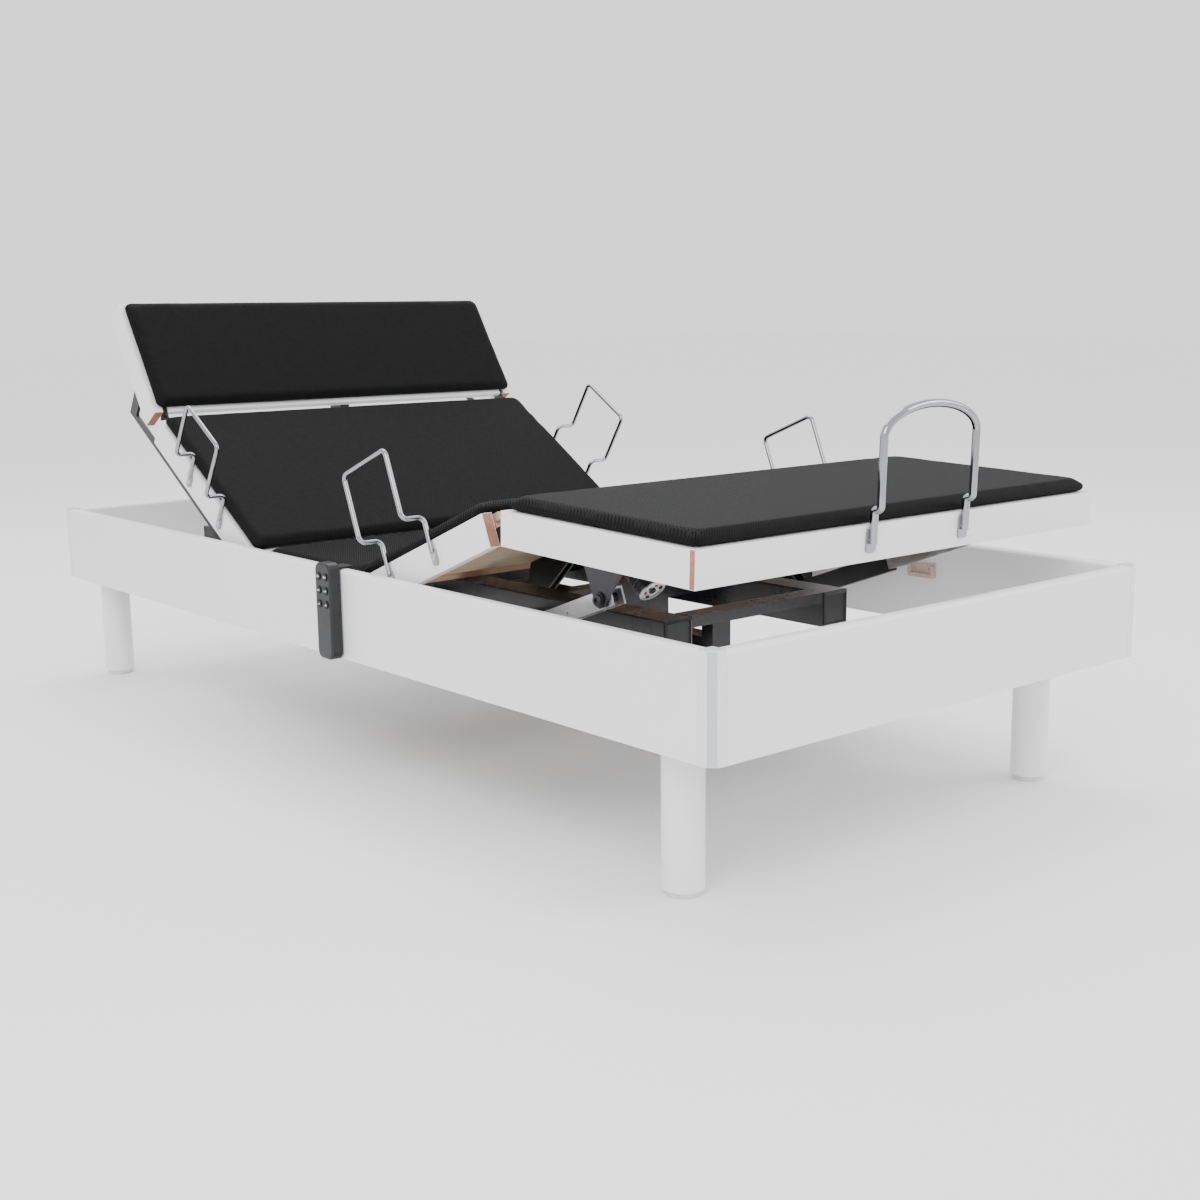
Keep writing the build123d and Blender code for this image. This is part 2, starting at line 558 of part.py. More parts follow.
THIGH_TIP = lever_tip(LEG_LEVER, LEG_LEVER_MIDDLE, HINGE_DEPTH)
with BuildPart() as thigh_lift_frame:
    inner_ears(THIGH, -HINGE_DEPTH)
    lever_pair(THIGH, LEG_DRIVE_X, THIGH_TIP, THIGH_START, 150, 14)
    under_bar(THIGH, 285, 325)
    outer_ears_with_pins(THIGH, KNEE_S, -KNEE_DEPTH)
save(thigh_lift_frame.part, "thigh_lift_frame")

with BuildPart() as thigh_slats:
    for slat_s in (235, 365):
        under_bar(THIGH, slat_s - SLAT_WIDTH / 2, slat_s + SLAT_WIDTH / 2)
save(thigh_slats.part, "thigh_slats")

HEAD_TIP = lever_tip(HEAD_LEVER, HEAD_LEVER_MIDDLE, NECK_DEPTH)
with BuildPart() as head_tilt_frame:
    inner_ears(HEAD, -NECK_DEPTH)
    lever_pair(HEAD, 0, HEAD_TIP, HEAD_START, 120, 12)
    under_bar(HEAD, 150, 180)
save(head_tilt_frame.part, "head_tilt_frame")

# Steel arms under the back section that carry the head section's end when it lies flat.
ARM_N = -80.0
ARM_HEIGHT = 12.0
ARM_THICKNESS = 6.0
ARM_POST = 25.0              # width of the posts that hang the arm from the boards
ARM_FIRST_S = 160.0
ARM_SECOND_S = 375.0
ARM_END_S = NECK_S + 138
ARM_X = BOARD_INNER - EAR_GAP - ARM_THICKNESS / 2
with BuildPart() as tilt_arms:
    for side in SIDES:
        with BuildSketch(side_plane(BACK, side * ARM_X)):
            with BuildLine():
                arm_low = ARM_N - ARM_HEIGHT / 2
                arm_top = ARM_N + ARM_HEIGHT / 2
                Polyline((ARM_FIRST_S - 10, arm_low), (ARM_END_S, arm_low), (ARM_END_S, -22),
                         (ARM_END_S - 28, -22), (ARM_END_S - 28, arm_top),
                         (ARM_SECOND_S + ARM_POST, arm_top), (ARM_SECOND_S + ARM_POST, -30),
                         (ARM_SECOND_S, -30), (ARM_SECOND_S, arm_top),
                         (ARM_FIRST_S + ARM_POST, arm_top), (ARM_FIRST_S + ARM_POST, -20),
                         (ARM_FIRST_S, -20), (ARM_FIRST_S - 10, arm_top), close=True)
            make_face()
        extrude(amount=ARM_THICKNESS / 2, both=True)
save(tilt_arms.part, "tilt_arms")

# ================================================================ level links and their brackets
BRACKET_X = LINK_CENTRE + LINK_CHANNEL_WIDTH / 2 + 1.0 + LEVER_PLATE / 2
BRACKET_FOOT_S = 285.0
BRACKET_KNEE_S = 145.0
BRACKET_FLANGE = 26.0
with BuildPart() as calf_brackets:
    for side in SIDES:
        inner_x = side * BRACKET_X
        with BuildSketch(side_plane(CALF, inner_x)):
            with BuildLine():
                Polyline((BRACKET_KNEE_S, -DECK_THICKNESS), (BRACKET_FOOT_S, -DECK_THICKNESS),
                         (LINK_PIVOT_S + 13, LINK_PIVOT_N), (LINK_PIVOT_S + 9, LINK_PIVOT_N - 9),
                         (LINK_PIVOT_S, LINK_PIVOT_N - 13), (LINK_PIVOT_S - 9, LINK_PIVOT_N - 9),
                         (LINK_PIVOT_S - 13, LINK_PIVOT_N), close=True)
            make_face()
        extrude(amount=LEVER_PLATE / 2, both=True)
        block(CALF, mirrored(side, BRACKET_X - BRACKET_FLANGE, BRACKET_X), BRACKET_KNEE_S, BRACKET_FOOT_S,
              -DECK_THICKNESS - 5, -DECK_THICKNESS)
        bolt_span = mirrored(side, LINK_CENTRE - LINK_CHANNEL_WIDTH / 2 - 3, BRACKET_X)
        cross_pin(in_section(CALF, LINK_PIVOT_S, LINK_PIVOT_N), *bolt_span, LINK_BOLT_RADIUS)
        inner_ear_x = side * INNER_EAR_X
        ear(CALF, inner_ear_x, 0, -KNEE_DEPTH, EAR_REACH, PIN_RADIUS + RUNNING_CLEARANCE)
save(calf_brackets.part, "calf_brackets")

with BuildPart() as link_tubes:
    for side in SIDES:
        with BuildSketch(side_plane(LINK, side * LINK_CENTRE)):
            with BuildLine():
                tube_top = LINK_TUBE_HEIGHT / 2
                Line((0, tube_top), (LINK_TUBE_END, tube_top))
                Line((LINK_TUBE_END, tube_top), (LINK_TUBE_END, -tube_top))
                Line((LINK_TUBE_END, -tube_top), (0, -tube_top))
                ThreePointArc((0, -tube_top), (-tube_top, 0), (0, tube_top))
            make_face()
            Circle(PIN_RADIUS + RUNNING_CLEARANCE, mode=Mode.SUBTRACT)
        extrude(amount=LINK_TUBE_WIDTH / 2, both=True)
save(link_tubes.part, "link_tubes")

with BuildPart() as link_channels:
    channel_end = LINK_LENGTH + LINK_OVERHANG
    half_height = LINK_CHANNEL_HEIGHT / 2
    for side in SIDES:
        outer_x = mirrored(side, LINK_CENTRE - LINK_CHANNEL_WIDTH / 2, LINK_CENTRE + LINK_CHANNEL_WIDTH / 2)
        block(LINK, outer_x, LINK_TUBE_END, channel_end, -half_height, half_height)
        inner_x = mirrored(side, LINK_CENTRE - LINK_CHANNEL_WIDTH / 2 + LINK_CHANNEL_WALL,
                           LINK_CENTRE + LINK_CHANNEL_WIDTH / 2 - LINK_CHANNEL_WALL)
        hollow_middle = (inner_x[0] + inner_x[1]) / 2 * LINK.x_dir.X
        with BuildSketch(LINK.offset(-half_height)):
            with Locations((hollow_middle, (LINK_TUBE_END + LINK_CHANNEL_WALL + channel_end) / 2)):
                Rectangle(inner_x[1] - inner_x[0], channel_end - LINK_TUBE_END - LINK_CHANNEL_WALL)
        extrude(amount=LINK_CHANNEL_HEIGHT - LINK_CHANNEL_WALL, mode=Mode.SUBTRACT)
        with BuildSketch(side_plane(LINK, side * LINK_CENTRE)):
            with Locations((LINK_LENGTH, 0)):
                Circle(LINK_BOLT_RADIUS + LINK_BOLT_CLEARANCE)
            with Locations((LINK_LENGTH - 85, 0)):
                Circle(2.5)
        extrude(amount=LINK_CHANNEL_WIDTH / 2 + 1, both=True, mode=Mode.SUBTRACT)
save(link_channels.part, "link_channels")


# ================================================================ drives
def eye_and_rod(section, x, tip_s, rod_n, rod_from, tip_n, slot_length):
    """Push rod along a section's direction, ending in a flat eye with an upright slot."""
    slot_width = 2 * (PIN_RADIUS + EYE_SLOT_CLEARANCE)
    with BuildSketch(side_plane(section, x)) as eye:
        with Locations((tip_s - EYE_SHANK / 2, tip_n)):
            RectangleRounded(slot_width + 14 + EYE_SHANK, slot_length + 12, 5)
        with Locations((tip_s, tip_n)):
            SlotOverall(slot_length, slot_width, rotation=90, mode=Mode.SUBTRACT)
    extrude(eye.sketch, amount=EYE_THICKNESS / 2, both=True)
    eye_edge = tip_s - slot_width / 2 - EYE_SHANK
    direction = section.y_dir
    with BuildSketch(Plane(origin=in_section(section, rod_from, rod_n) + Vector(x, 0, 0),
                           x_dir=(1, 0, 0), z_dir=direction)) as rod:
        Circle(ROD_RADIUS)
    extrude(rod.sketch, amount=eye_edge - rod_from)


def drive_body(section, x, n, rear, tube_to, motor_side):
    """Drive housing with a motor beside it and an outer tube, bored for the push rod."""
    half = HOUSING_SIZE / 2
    housing_to = rear + HOUSING_LENGTH
    block(section, (x - half, x + half), rear, housing_to, n - half, n + half)
    motor = mirrored(motor_side, half, half + DRIVE_MOTOR_LENGTH)
    motor_from = rear + 22
    block(section, (x + motor[0], x + motor[1]), motor_from, motor_from + DRIVE_MOTOR_LENGTH,
          n - DRIVE_MOTOR_SIZE / 2, n + DRIVE_MOTOR_SIZE / 2)
    with BuildSketch(Plane(origin=in_section(section, housing_to, n) + Vector(x, 0, 0),
                           x_dir=(1, 0, 0), z_dir=section.y_dir)) as tube:
        Circle(TUBE_RADIUS)
    extrude(tube.sketch, amount=tube_to - housing_to)
    bore_from = rear + DRIVE_BORE_INSET
    with BuildSketch(Plane(origin=in_section(section, bore_from, n) + Vector(x, 0, 0),
                           x_dir=(1, 0, 0), z_dir=section.y_dir)) as bore:
        Circle(ROD_RADIUS + RUNNING_CLEARANCE)
    extrude(bore.sketch, amount=tube_to - bore_from, mode=Mode.SUBTRACT)


def eye_drop(lever, middle):
    """Depth of an eye's middle under the hinge axis: the lever pin moves as much above as below it."""
    return lever * (1 + cos(radians(middle))) / 2


def slot_height(lever, middle):
    """Room for the lever pin's rise and fall over the section's travel."""
    return lever * (1 - cos(radians(middle))) + 2 * (PIN_RADIUS + EYE_SLOT_CLEARANCE)


# The back drive pushes towards the head end, the leg drive pulls towards the foot end.
DRIVE_N = -DRIVE_DROP
BACK_PIN = in_section(BACK, *BACK_TIP)
THIGH_PIN = in_section(THIGH, *THIGH_TIP)
BACK_TUBE_END = BACK_AXIS_Y - BACK_TUBE_SHORT
LEG_TUBE_END = THIGH_AXIS_Y - LEG_TUBE_SHORT
BACK_DRIVE_REAR = LINK_BAR_Y + HANGER_WIDTH
LEG_DRIVE_REAR = BEAM_FOOT_Y + CROSSBAR_WIDTH + 2

with BuildPart() as back_drive_body:
    drive_body(SEAT, BACK_DRIVE_X, DRIVE_N, BACK_DRIVE_REAR, BACK_TUBE_END, 1)
save(back_drive_body.part, "back_drive_body")
with BuildPart() as back_drive_rod:
    eye_and_rod(SEAT, BACK_DRIVE_X, BACK_PIN.Y, DRIVE_N, BACK_TUBE_END - 240,
                -HINGE_DEPTH - eye_drop(BACK_LEVER, BACK_LEVER_MIDDLE),
                slot_height(BACK_LEVER, BACK_LEVER_MIDDLE))
save(back_drive_rod.part, "back_drive_rod")

with BuildPart() as leg_drive_body:
    drive_body(SEAT, LEG_DRIVE_X, DRIVE_N, LEG_DRIVE_REAR, LEG_TUBE_END, -1)
save(leg_drive_body.part, "leg_drive_body")
with BuildPart() as leg_drive_rod:
    eye_and_rod(SEAT, LEG_DRIVE_X, THIGH_PIN.Y, DRIVE_N, LEG_TUBE_END - 250,
                -HINGE_DEPTH - eye_drop(LEG_LEVER, LEG_LEVER_MIDDLE),
                slot_height(LEG_LEVER, LEG_LEVER_MIDDLE))
save(leg_drive_rod.part, "leg_drive_rod")

# The head drive lies under the back deck and tilts the head section.
HEAD_PIN = in_section(HEAD, *HEAD_TIP)
HEAD_PIN_S = (HEAD_PIN - BACK.origin).dot(BACK.y_dir)
HEAD_EYE_N = -NECK_DEPTH - eye_drop(HEAD_LEVER, HEAD_LEVER_MIDDLE)
HEAD_DRIVE_REAR = NECK_S - 362
with BuildPart() as head_drive_body:
    drive_body(BACK, 0, HEAD_EYE_N, HEAD_DRIVE_REAR, NECK_S - 112, -1)
    block(BACK, (-15, 15), HEAD_DRIVE_REAR + 5, HEAD_DRIVE_REAR + 25,
          HEAD_EYE_N + HOUSING_SIZE / 2, -DECK_THICKNESS)
save(head_drive_body.part, "head_drive_body")
with BuildPart() as head_drive_rod:
    eye_and_rod(BACK, 0, HEAD_PIN_S, HEAD_EYE_N, NECK_S - 272, HEAD_EYE_N,
                slot_height(HEAD_LEVER, HEAD_LEVER_MIDDLE))
save(head_drive_rod.part, "head_drive_rod")

# Hangers that hold the back and leg drives under the frame's cross bars, and the control box.
with BuildPart() as drive_hangers:
    for drive_x, rear, bar_low in (
        (BACK_DRIVE_X, BACK_DRIVE_REAR, MIDDLE_BAR_BOTTOM),
        (LEG_DRIVE_X, LEG_DRIVE_REAR, BEAM_TOP - FOOT_BAR_HEIGHT),
    ):
        block(SEAT, (drive_x - HOUSING_SIZE / 2, drive_x + HOUSING_SIZE / 2), rear - HANGER_WIDTH, rear,
              DRIVE_N - HOUSING_SIZE / 2, bar_low - SEAT_TOP)
save(drive_hangers.part, "drive_hangers")

CONTROL_BOX_HEIGHT = 35.0
with BuildPart() as control_box:
    block(SEAT, (-140, -20), SEAT_HEAD_Y - 144.5, SEAT_HEAD_Y - 24.5,
          BEAM_TOP - CONTROL_BOX_HEIGHT - SEAT_TOP, BEAM_TOP - SEAT_TOP)
    fillet(control_box.edges().filter_by(Axis.Z), 6)
save(control_box.part, "control_box")

# ================================================================ vibration motor under the calf section
MOTOR_X = -300.0
MOTOR_RADIUS = 21.0
MOTOR_LENGTH = 86.0
MOTOR_SLOPE = 41.8           # down from the calf section's direction
MOTOR_END_S = 189.7
MOTOR_END_N = -108.0
with BuildPart() as calf_motor:
    slope = radians(MOTOR_SLOPE)
    down = CALF.y_dir * cos(slope) - CALF.z_dir * sin(slope)
    end = in_section(CALF, MOTOR_END_S, MOTOR_END_N) + Vector(MOTOR_X, 0, 0)
    with BuildSketch(Plane(origin=end, x_dir=(1, 0, 0), z_dir=down)):
        Circle(MOTOR_RADIUS)
    extrude(amount=-MOTOR_LENGTH)
    block(CALF, (MOTOR_X - 26, MOTOR_X + 26), 92, 160, -52, -DECK_THICKNESS)
save(calf_motor.part, "calf_motor")


# ================================================================ mattress retainers
def side_retainer(section, side, s_from):
    """Bent round bar with two flattened eyelets on the side board."""
    across = side * section.x_dir.X
    near = across * (BOARD_OUTER + BAR_RADIUS)
    out = across * RETAINER_OUT
    s_to = s_from + RETAINER_WIDTH
    route = (
        (near, s_from, -RETAINER_HEEL), (near, s_from, RETAINER_JOG), (out, s_from, RETAINER_JOG),
        (out, s_from, RETAINER_TOP), (out, s_to, RETAINER_TOP), (out, s_to, RETAINER_JOG),
        (near, s_to, RETAINER_JOG), (near, s_to, -RETAINER_HEEL),
    )
    points = [section.from_local_coords(Vector(*point)) for point in route]
    with BuildPart() as bar:
        with BuildLine() as path:
            FilletPolyline(*points, radius=RETAINER_BEND)
        with BuildSketch(Plane(origin=path.line @ 0, z_dir=path.line % 0)):
            Circle(BAR_RADIUS)
        sweep(path=path.line)
        for s in (s_from, s_to):
            with BuildSketch(side_plane(section, side * (BOARD_OUTER + 2))):
                with Locations((s, -RETAINER_FOOT)):
                    SlotOverall(28, 14, rotation=90)
                    Circle(2.6, mode=Mode.SUBTRACT)
            extrude(amount=2, both=True)
    return bar.part


save(side_retainer(BACK, -1, BACK_RETAINER_S), "back_retainer_left")
save(side_retainer(BACK, 1, BACK_RETAINER_S), "back_retainer_right")
save(side_retainer(THIGH, -1, THIGH_RETAINER_S), "thigh_retainer_left")
save(side_retainer(THIGH, 1, THIGH_RETAINER_S), "thigh_retainer_right")

# Arched retainer on the foot board: slotted tabs, a small jog outwards and a round arch.
with BuildPart() as foot_retainer:
    near_s = CALF_END + FOOT_BAR_RADIUS
    out_s = CALF_END + FOOT_RETAINER_OUT
    arch_x = FOOT_RETAINER_WIDTH / 2
    low = (arch_x, near_s, -RETAINER_FOOT)
    jog = (arch_x, near_s, FOOT_RETAINER_JOG)
    step = (arch_x, out_s, FOOT_RETAINER_JOG)
    shoulder = (arch_x, out_s, FOOT_RETAINER_SHOULDER)
    arch_centre = (0, out_s, FOOT_RETAINER_SHOULDER)
    with BuildLine() as arch_path:
        right_side = [CALF.from_local_coords(Vector(*p)) for p in (low, jog, step, shoulder)]
        left_side = [CALF.from_local_coords(Vector(-p[0], p[1], p[2])) for p in (shoulder, step, jog, low)]
        FilletPolyline(*right_side, radius=6)
        arch_plane = Plane(origin=CALF.from_local_coords(Vector(*arch_centre)), x_dir=CALF.x_dir,
                           z_dir=-CALF.y_dir)
        add(Edge.make_ellipse(arch_x, FOOT_RETAINER_TOP - FOOT_RETAINER_SHOULDER, arch_plane,
                              start_angle=0, end_angle=180))
        FilletPolyline(*left_side, radius=6)
    with BuildSketch(Plane(origin=arch_path.line @ 0, z_dir=arch_path.line % 0)):
        Circle(FOOT_BAR_RADIUS)
    sweep(path=arch_path.line)
    for tab_x in (-arch_x, arch_x):
        with BuildSketch(Plane(origin=in_section(CALF, CALF_END, -23) + Vector(tab_x, 0, 0),
                               x_dir=(1, 0, 0), z_dir=CALF.y_dir)):
            RectangleRounded(20, 34, 5)
        extrude(amount=3)
save(foot_retainer.part, "foot_retainer")

# ================================================================ handset
CASE_FRONT = -HALF_WIDTH - HANDSET_GAP - HANDSET_THICKNESS
CASE_BACK = -HALF_WIDTH - HANDSET_GAP
HOOK_UNDER = RAIL_TOP + HOOK_CLEARANCE
HANDSET_Y = THIGH_AXIS_Y + HANDSET_AHEAD
HANDSET_TOP = RAIL_TOP + HANDSET_RISE
BUTTON_TOP_Z = HANDSET_TOP - BUTTON_DROP
with BuildPart() as handset_case:
    with BuildSketch(Plane(origin=(CASE_FRONT, HANDSET_Y, HANDSET_TOP - HANDSET_HEIGHT / 2),
                           x_dir=(0, 1, 0), z_dir=(1, 0, 0))):
        RectangleRounded(HANDSET_WIDTH, HANDSET_HEIGHT, 14)
    extrude(amount=HANDSET_THICKNESS)
    front = handset_case.faces().sort_by(Axis.X)[0]
    fillet(front.edges(), 4.0)
    hook_in = -RAIL_INNER + HOOK_CLEARANCE + HOOK_THICKNESS
    hook_top = HOOK_UNDER + HOOK_THICKNESS - SEAT_TOP
    hook_width = (HANDSET_Y - 16, HANDSET_Y + 16)
    block(SEAT, (CASE_BACK - 4, hook_in), *hook_width, HOOK_UNDER - SEAT_TOP, hook_top)
    block(SEAT, (hook_in - HOOK_THICKNESS, hook_in), *hook_width, RAIL_TOP - HOOK_DROP - SEAT_TOP, hook_top)
    for row in range(3):
        for column in SIDES:
            spot = (CASE_FRONT, HANDSET_Y + column * BUTTON_COLUMN, BUTTON_TOP_Z - row * BUTTON_PITCH)
            with BuildSketch(Plane(origin=spot, x_dir=(0, 1, 0), z_dir=(1, 0, 0))):
                Circle(BUTTON_RADIUS + BUTTON_CLEARANCE)
            extrude(amount=BUTTON_POCKET, mode=Mode.SUBTRACT)
save(handset_case.part, "handset_case")

BUTTON_NAMES = (
    ("button_head_down", "button_head_up"),
    ("button_back_down", "button_back_up"),
    ("button_legs_down", "button_legs_up"),
)
for row, names in enumerate(BUTTON_NAMES):
    for column, name in zip(SIDES, names):
        button_y = HANDSET_Y + column * BUTTON_COLUMN
        spot = (CASE_FRONT - BUTTON_PROUD, button_y, BUTTON_TOP_Z - row * BUTTON_PITCH)
        with BuildPart() as button:
            with BuildSketch(Plane(origin=spot, x_dir=(0, 1, 0), z_dir=(1, 0, 0))):
                Circle(BUTTON_RADIUS)
            extrude(amount=BUTTON_HEIGHT)
            fillet(button.edges().group_by(Axis.X)[0], 0.8)
        save(button.part, name)

print("hinges", THIGH_AXIS, BACK_AXIS, "knee", KNEE, "neck", NECK)
print("link", LINK_ANCHOR, "length", LINK_LENGTH, "angle", LINK_ANGLE)
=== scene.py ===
# %% [markdown]
# # An adjustable bed base, dressed
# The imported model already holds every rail, beam, hinge and rod at its real size, and each one
# moves with its body. This lesson adds what the eye looks for: materials with real surface,
# padded covers that are really inflated, raw board ends, screws, caps and printed symbols.

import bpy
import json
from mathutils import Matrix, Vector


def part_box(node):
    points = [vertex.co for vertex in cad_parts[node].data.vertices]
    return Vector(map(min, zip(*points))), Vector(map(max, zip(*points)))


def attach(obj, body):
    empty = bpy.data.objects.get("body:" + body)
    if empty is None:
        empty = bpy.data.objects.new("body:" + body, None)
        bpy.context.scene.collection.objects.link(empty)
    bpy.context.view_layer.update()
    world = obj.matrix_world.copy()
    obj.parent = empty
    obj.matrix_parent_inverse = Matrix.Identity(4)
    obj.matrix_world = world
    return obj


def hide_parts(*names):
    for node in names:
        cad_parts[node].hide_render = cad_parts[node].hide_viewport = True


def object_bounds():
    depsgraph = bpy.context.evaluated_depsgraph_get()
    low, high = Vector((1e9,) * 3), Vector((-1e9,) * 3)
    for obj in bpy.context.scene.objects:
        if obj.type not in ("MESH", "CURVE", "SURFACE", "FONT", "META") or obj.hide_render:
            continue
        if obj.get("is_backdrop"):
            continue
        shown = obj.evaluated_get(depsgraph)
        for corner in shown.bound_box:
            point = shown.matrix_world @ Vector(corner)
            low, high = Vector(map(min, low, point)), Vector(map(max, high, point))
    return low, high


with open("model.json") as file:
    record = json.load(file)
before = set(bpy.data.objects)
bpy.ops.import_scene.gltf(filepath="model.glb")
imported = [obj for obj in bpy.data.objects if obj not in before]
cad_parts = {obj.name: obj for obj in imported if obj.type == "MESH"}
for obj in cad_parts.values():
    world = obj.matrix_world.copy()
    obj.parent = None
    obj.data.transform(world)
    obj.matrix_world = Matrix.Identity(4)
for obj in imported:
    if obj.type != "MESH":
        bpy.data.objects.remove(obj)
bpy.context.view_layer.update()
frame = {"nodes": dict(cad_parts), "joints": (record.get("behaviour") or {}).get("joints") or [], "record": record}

# %% [markdown]
# ## Working directions
# Five sections tilt about hinges. A board end or a pad is easiest to draw flat, with x across
# the bed, y along its section and z out of its boards, and then to swing into place. Each
# section's matrix comes from its hinge and its joint's range: rest is the raised position, so
# the lower limit says how far above level the section stands.

# %% Section directions
import json
from math import atan2, cos, pi, radians, sin

import bpy
from mathutils import Matrix, Vector

MM = 0.001
JOINTS = {joint["name"]: joint for joint in frame["joints"]}
CALF_RATIO = next(c["ratio"] for c in frame["record"]["behaviour"]["couplings"] if c["joint"] == "calf_tilt")


def section_matrix(hinge, slope, depth, towards_head):
    """Local x across the bed, y along the section from its hinge, z out of its boards."""
    turn = Matrix.Rotation(radians(slope), 4, "X")
    if not towards_head:
        turn = Matrix.Rotation(pi, 4, "Z") @ turn
    return Matrix.Translation(hinge) @ turn @ Matrix.Translation((0, 0, depth))


back_slope = -JOINTS["back_tilt"]["range_deg"][0]
head_slope = back_slope - JOINTS["head_tilt"]["range_deg"][0]
thigh_slope = -JOINTS["thigh_tilt"]["range_deg"][0]
calf_slope = thigh_slope * (1 + CALF_RATIO)
SECTIONS = {
    "seat": Matrix.Translation((0, 0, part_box("seat_deck")[1].z)),
    "back": section_matrix(JOINTS["back_tilt"]["pos_m"], back_slope, 14 * MM, True),
    "head": section_matrix(JOINTS["head_tilt"]["pos_m"], head_slope, 15 * MM, True),
    "thigh": section_matrix(JOINTS["thigh_tilt"]["pos_m"], thigh_slope, 14 * MM, False),
    "calf": section_matrix(JOINTS["calf_tilt"]["pos_m"], calf_slope, 38 * MM, False),
}
BODY = {"seat": "base", "back": "back", "head": "head", "thigh": "thigh", "calf": "calf"}


def box_along(node, place):
    """A CAD node's lowest and highest corners in the directions of a matrix."""
    back_to_local = place.inverted()
    points = [back_to_local @ vertex.co for vertex in frame["nodes"][node].data.vertices]
    low = Vector([min(point[axis] for point in points) for axis in range(3)])
    high = Vector([max(point[axis] for point in points) for axis in range(3)])
    return low, high


print("slopes", round(back_slope, 2), round(head_slope, 2), round(thigh_slope, 2), round(calf_slope, 2))

# %% [markdown]
# ## The camera
# A portrait lens at table height, left of the foot end. It looks slightly down, and its roll
# of under a degree keeps the legs upright in the picture.

# %% Camera
yaw, pitch, roll = radians(40.189), radians(10.503), radians(-0.711)
forward = Vector((sin(yaw) * cos(pitch), cos(yaw) * cos(pitch), -sin(pitch)))
level = forward.cross(Vector((0, 0, 1))).normalized()
upright = level.cross(forward)
right = level * cos(roll) + upright * sin(roll)
up = upright * cos(roll) - level * sin(roll)
lens = bpy.data.cameras.new("portrait_lens")
lens.lens = 47.54
camera = bpy.data.objects.new("portrait_camera", lens)
bpy.context.scene.collection.objects.link(camera)
aim = Matrix((right, up, -forward)).transposed().to_4x4()
camera.matrix_world = Matrix.Translation((-1.8180, -2.3842, 0.7936)) @ aim
bpy.context.scene.camera = camera
print("camera at", [round(value, 3) for value in camera.location])

# %% [markdown]
# ## Modelling helpers
# Every new piece starts as a primitive at its size and place. Operators act on whatever is
# selected, so each helper first clears the selection, and ends with an object at the origin
# whose place is in its mesh.

# %% Modelling helpers


def alone(piece):
    """Makes one piece the only selected and active object."""
    for chosen in bpy.context.selected_objects:
        chosen.select_set(False)
    if piece is not None:
        piece.select_set(True)
        bpy.context.view_layer.objects.active = piece


def settled(piece, name):
    """Names a new primitive and moves its place and size into its mesh."""
    piece.name = name
    alone(piece)
    bpy.ops.object.transform_apply(location=True, rotation=True, scale=True)
    return piece


def modified(piece, kind, **settings):
    """Adds a modifier, sets it and applies it."""
    modifier = piece.modifiers.new(kind.lower(), kind)
    for key, value in settings.items():
        setattr(modifier, key, value)
    alone(piece)
    bpy.ops.object.modifier_apply(modifier=modifier.name)
    return piece


def smooth(piece, angle=35):
    """Smooth shading that keeps edges sharper than the angle."""
    alone(piece)
    bpy.ops.object.shade_smooth_by_angle(angle=radians(angle))
    return piece


def slab(name, low, high, bevel=0.0, segments=2):
    """A straight block between two corners, with rounded edges when a bevel is given."""
    low, high = Vector(low), Vector(high)
    alone(None)
    bpy.ops.mesh.primitive_cube_add(size=1, location=(low + high) / 2, scale=high - low)
    piece = settled(bpy.context.object, name)
    if bevel:
        modified(piece, "BEVEL", width=bevel, segments=segments, limit_method="ANGLE")
    return piece


def disc(name, foot, radius, height, bevel=0.0, sides=32):
    """A short round bar that stands along +Z on its foot point."""
    alone(None)
    centre = Vector(foot) + Vector((0, 0, height / 2))
    bpy.ops.mesh.primitive_cylinder_add(vertices=sides, radius=radius, depth=height, location=centre)
    piece = settled(bpy.context.object, name)
    if bevel:
        modified(piece, "BEVEL", width=bevel, segments=3, limit_method="ANGLE", angle_limit=radians(50))
    return piece


def edit_faces(piece, wanted):
    """Enters edit mode with just the faces that wanted() accepts selected."""
    alone(piece)
    bpy.ops.object.mode_set(mode="EDIT")
    bpy.ops.mesh.select_mode(type="FACE")
    bpy.ops.mesh.select_all(action="DESELECT")
    bpy.ops.object.mode_set(mode="OBJECT")
    for face in piece.data.polygons:
        face.select = bool(wanted(face))
    bpy.ops.object.mode_set(mode="EDIT")


def bevel_edges(piece, wanted, offset, segments):
    """Bevels the edges whose two end points wanted() accepts."""
    alone(piece)
    bpy.ops.object.mode_set(mode="EDIT")
    bpy.ops.mesh.select_mode(type="EDGE")
    bpy.ops.mesh.select_all(action="DESELECT")
    bpy.ops.object.mode_set(mode="OBJECT")
    for edge in piece.data.edges:
        first, second = (piece.data.vertices[index].co for index in edge.vertices)
        edge.select = bool(wanted(first, second))
    bpy.ops.object.mode_set(mode="EDIT")
    bpy.ops.mesh.bevel(offset=offset, segments=segments, affect="EDGES")
    bpy.ops.object.mode_set(mode="OBJECT")


def upright_edge(first, second):
    return abs(first.z - second.z) > 1 * MM


def sunk(piece, rim, depth, direction):
    """Insets the faces that look one way by a rim and pushes their middle in."""
    direction = Vector(direction)
    edit_faces(piece, lambda face: face.normal.dot(direction) > 0.9)
    bpy.ops.mesh.inset(thickness=rim)
    bpy.ops.mesh.extrude_region_move(TRANSFORM_OT_translate={"value": direction * -depth})
    bpy.ops.object.mode_set(mode="OBJECT")
    return piece


def cut(piece, tool):
    """Cuts a tool's shape out of a piece and removes the tool."""
    modified(piece, "BOOLEAN", operation="DIFFERENCE", object=tool, solver="EXACT")
    bpy.data.objects.remove(tool)
    return piece


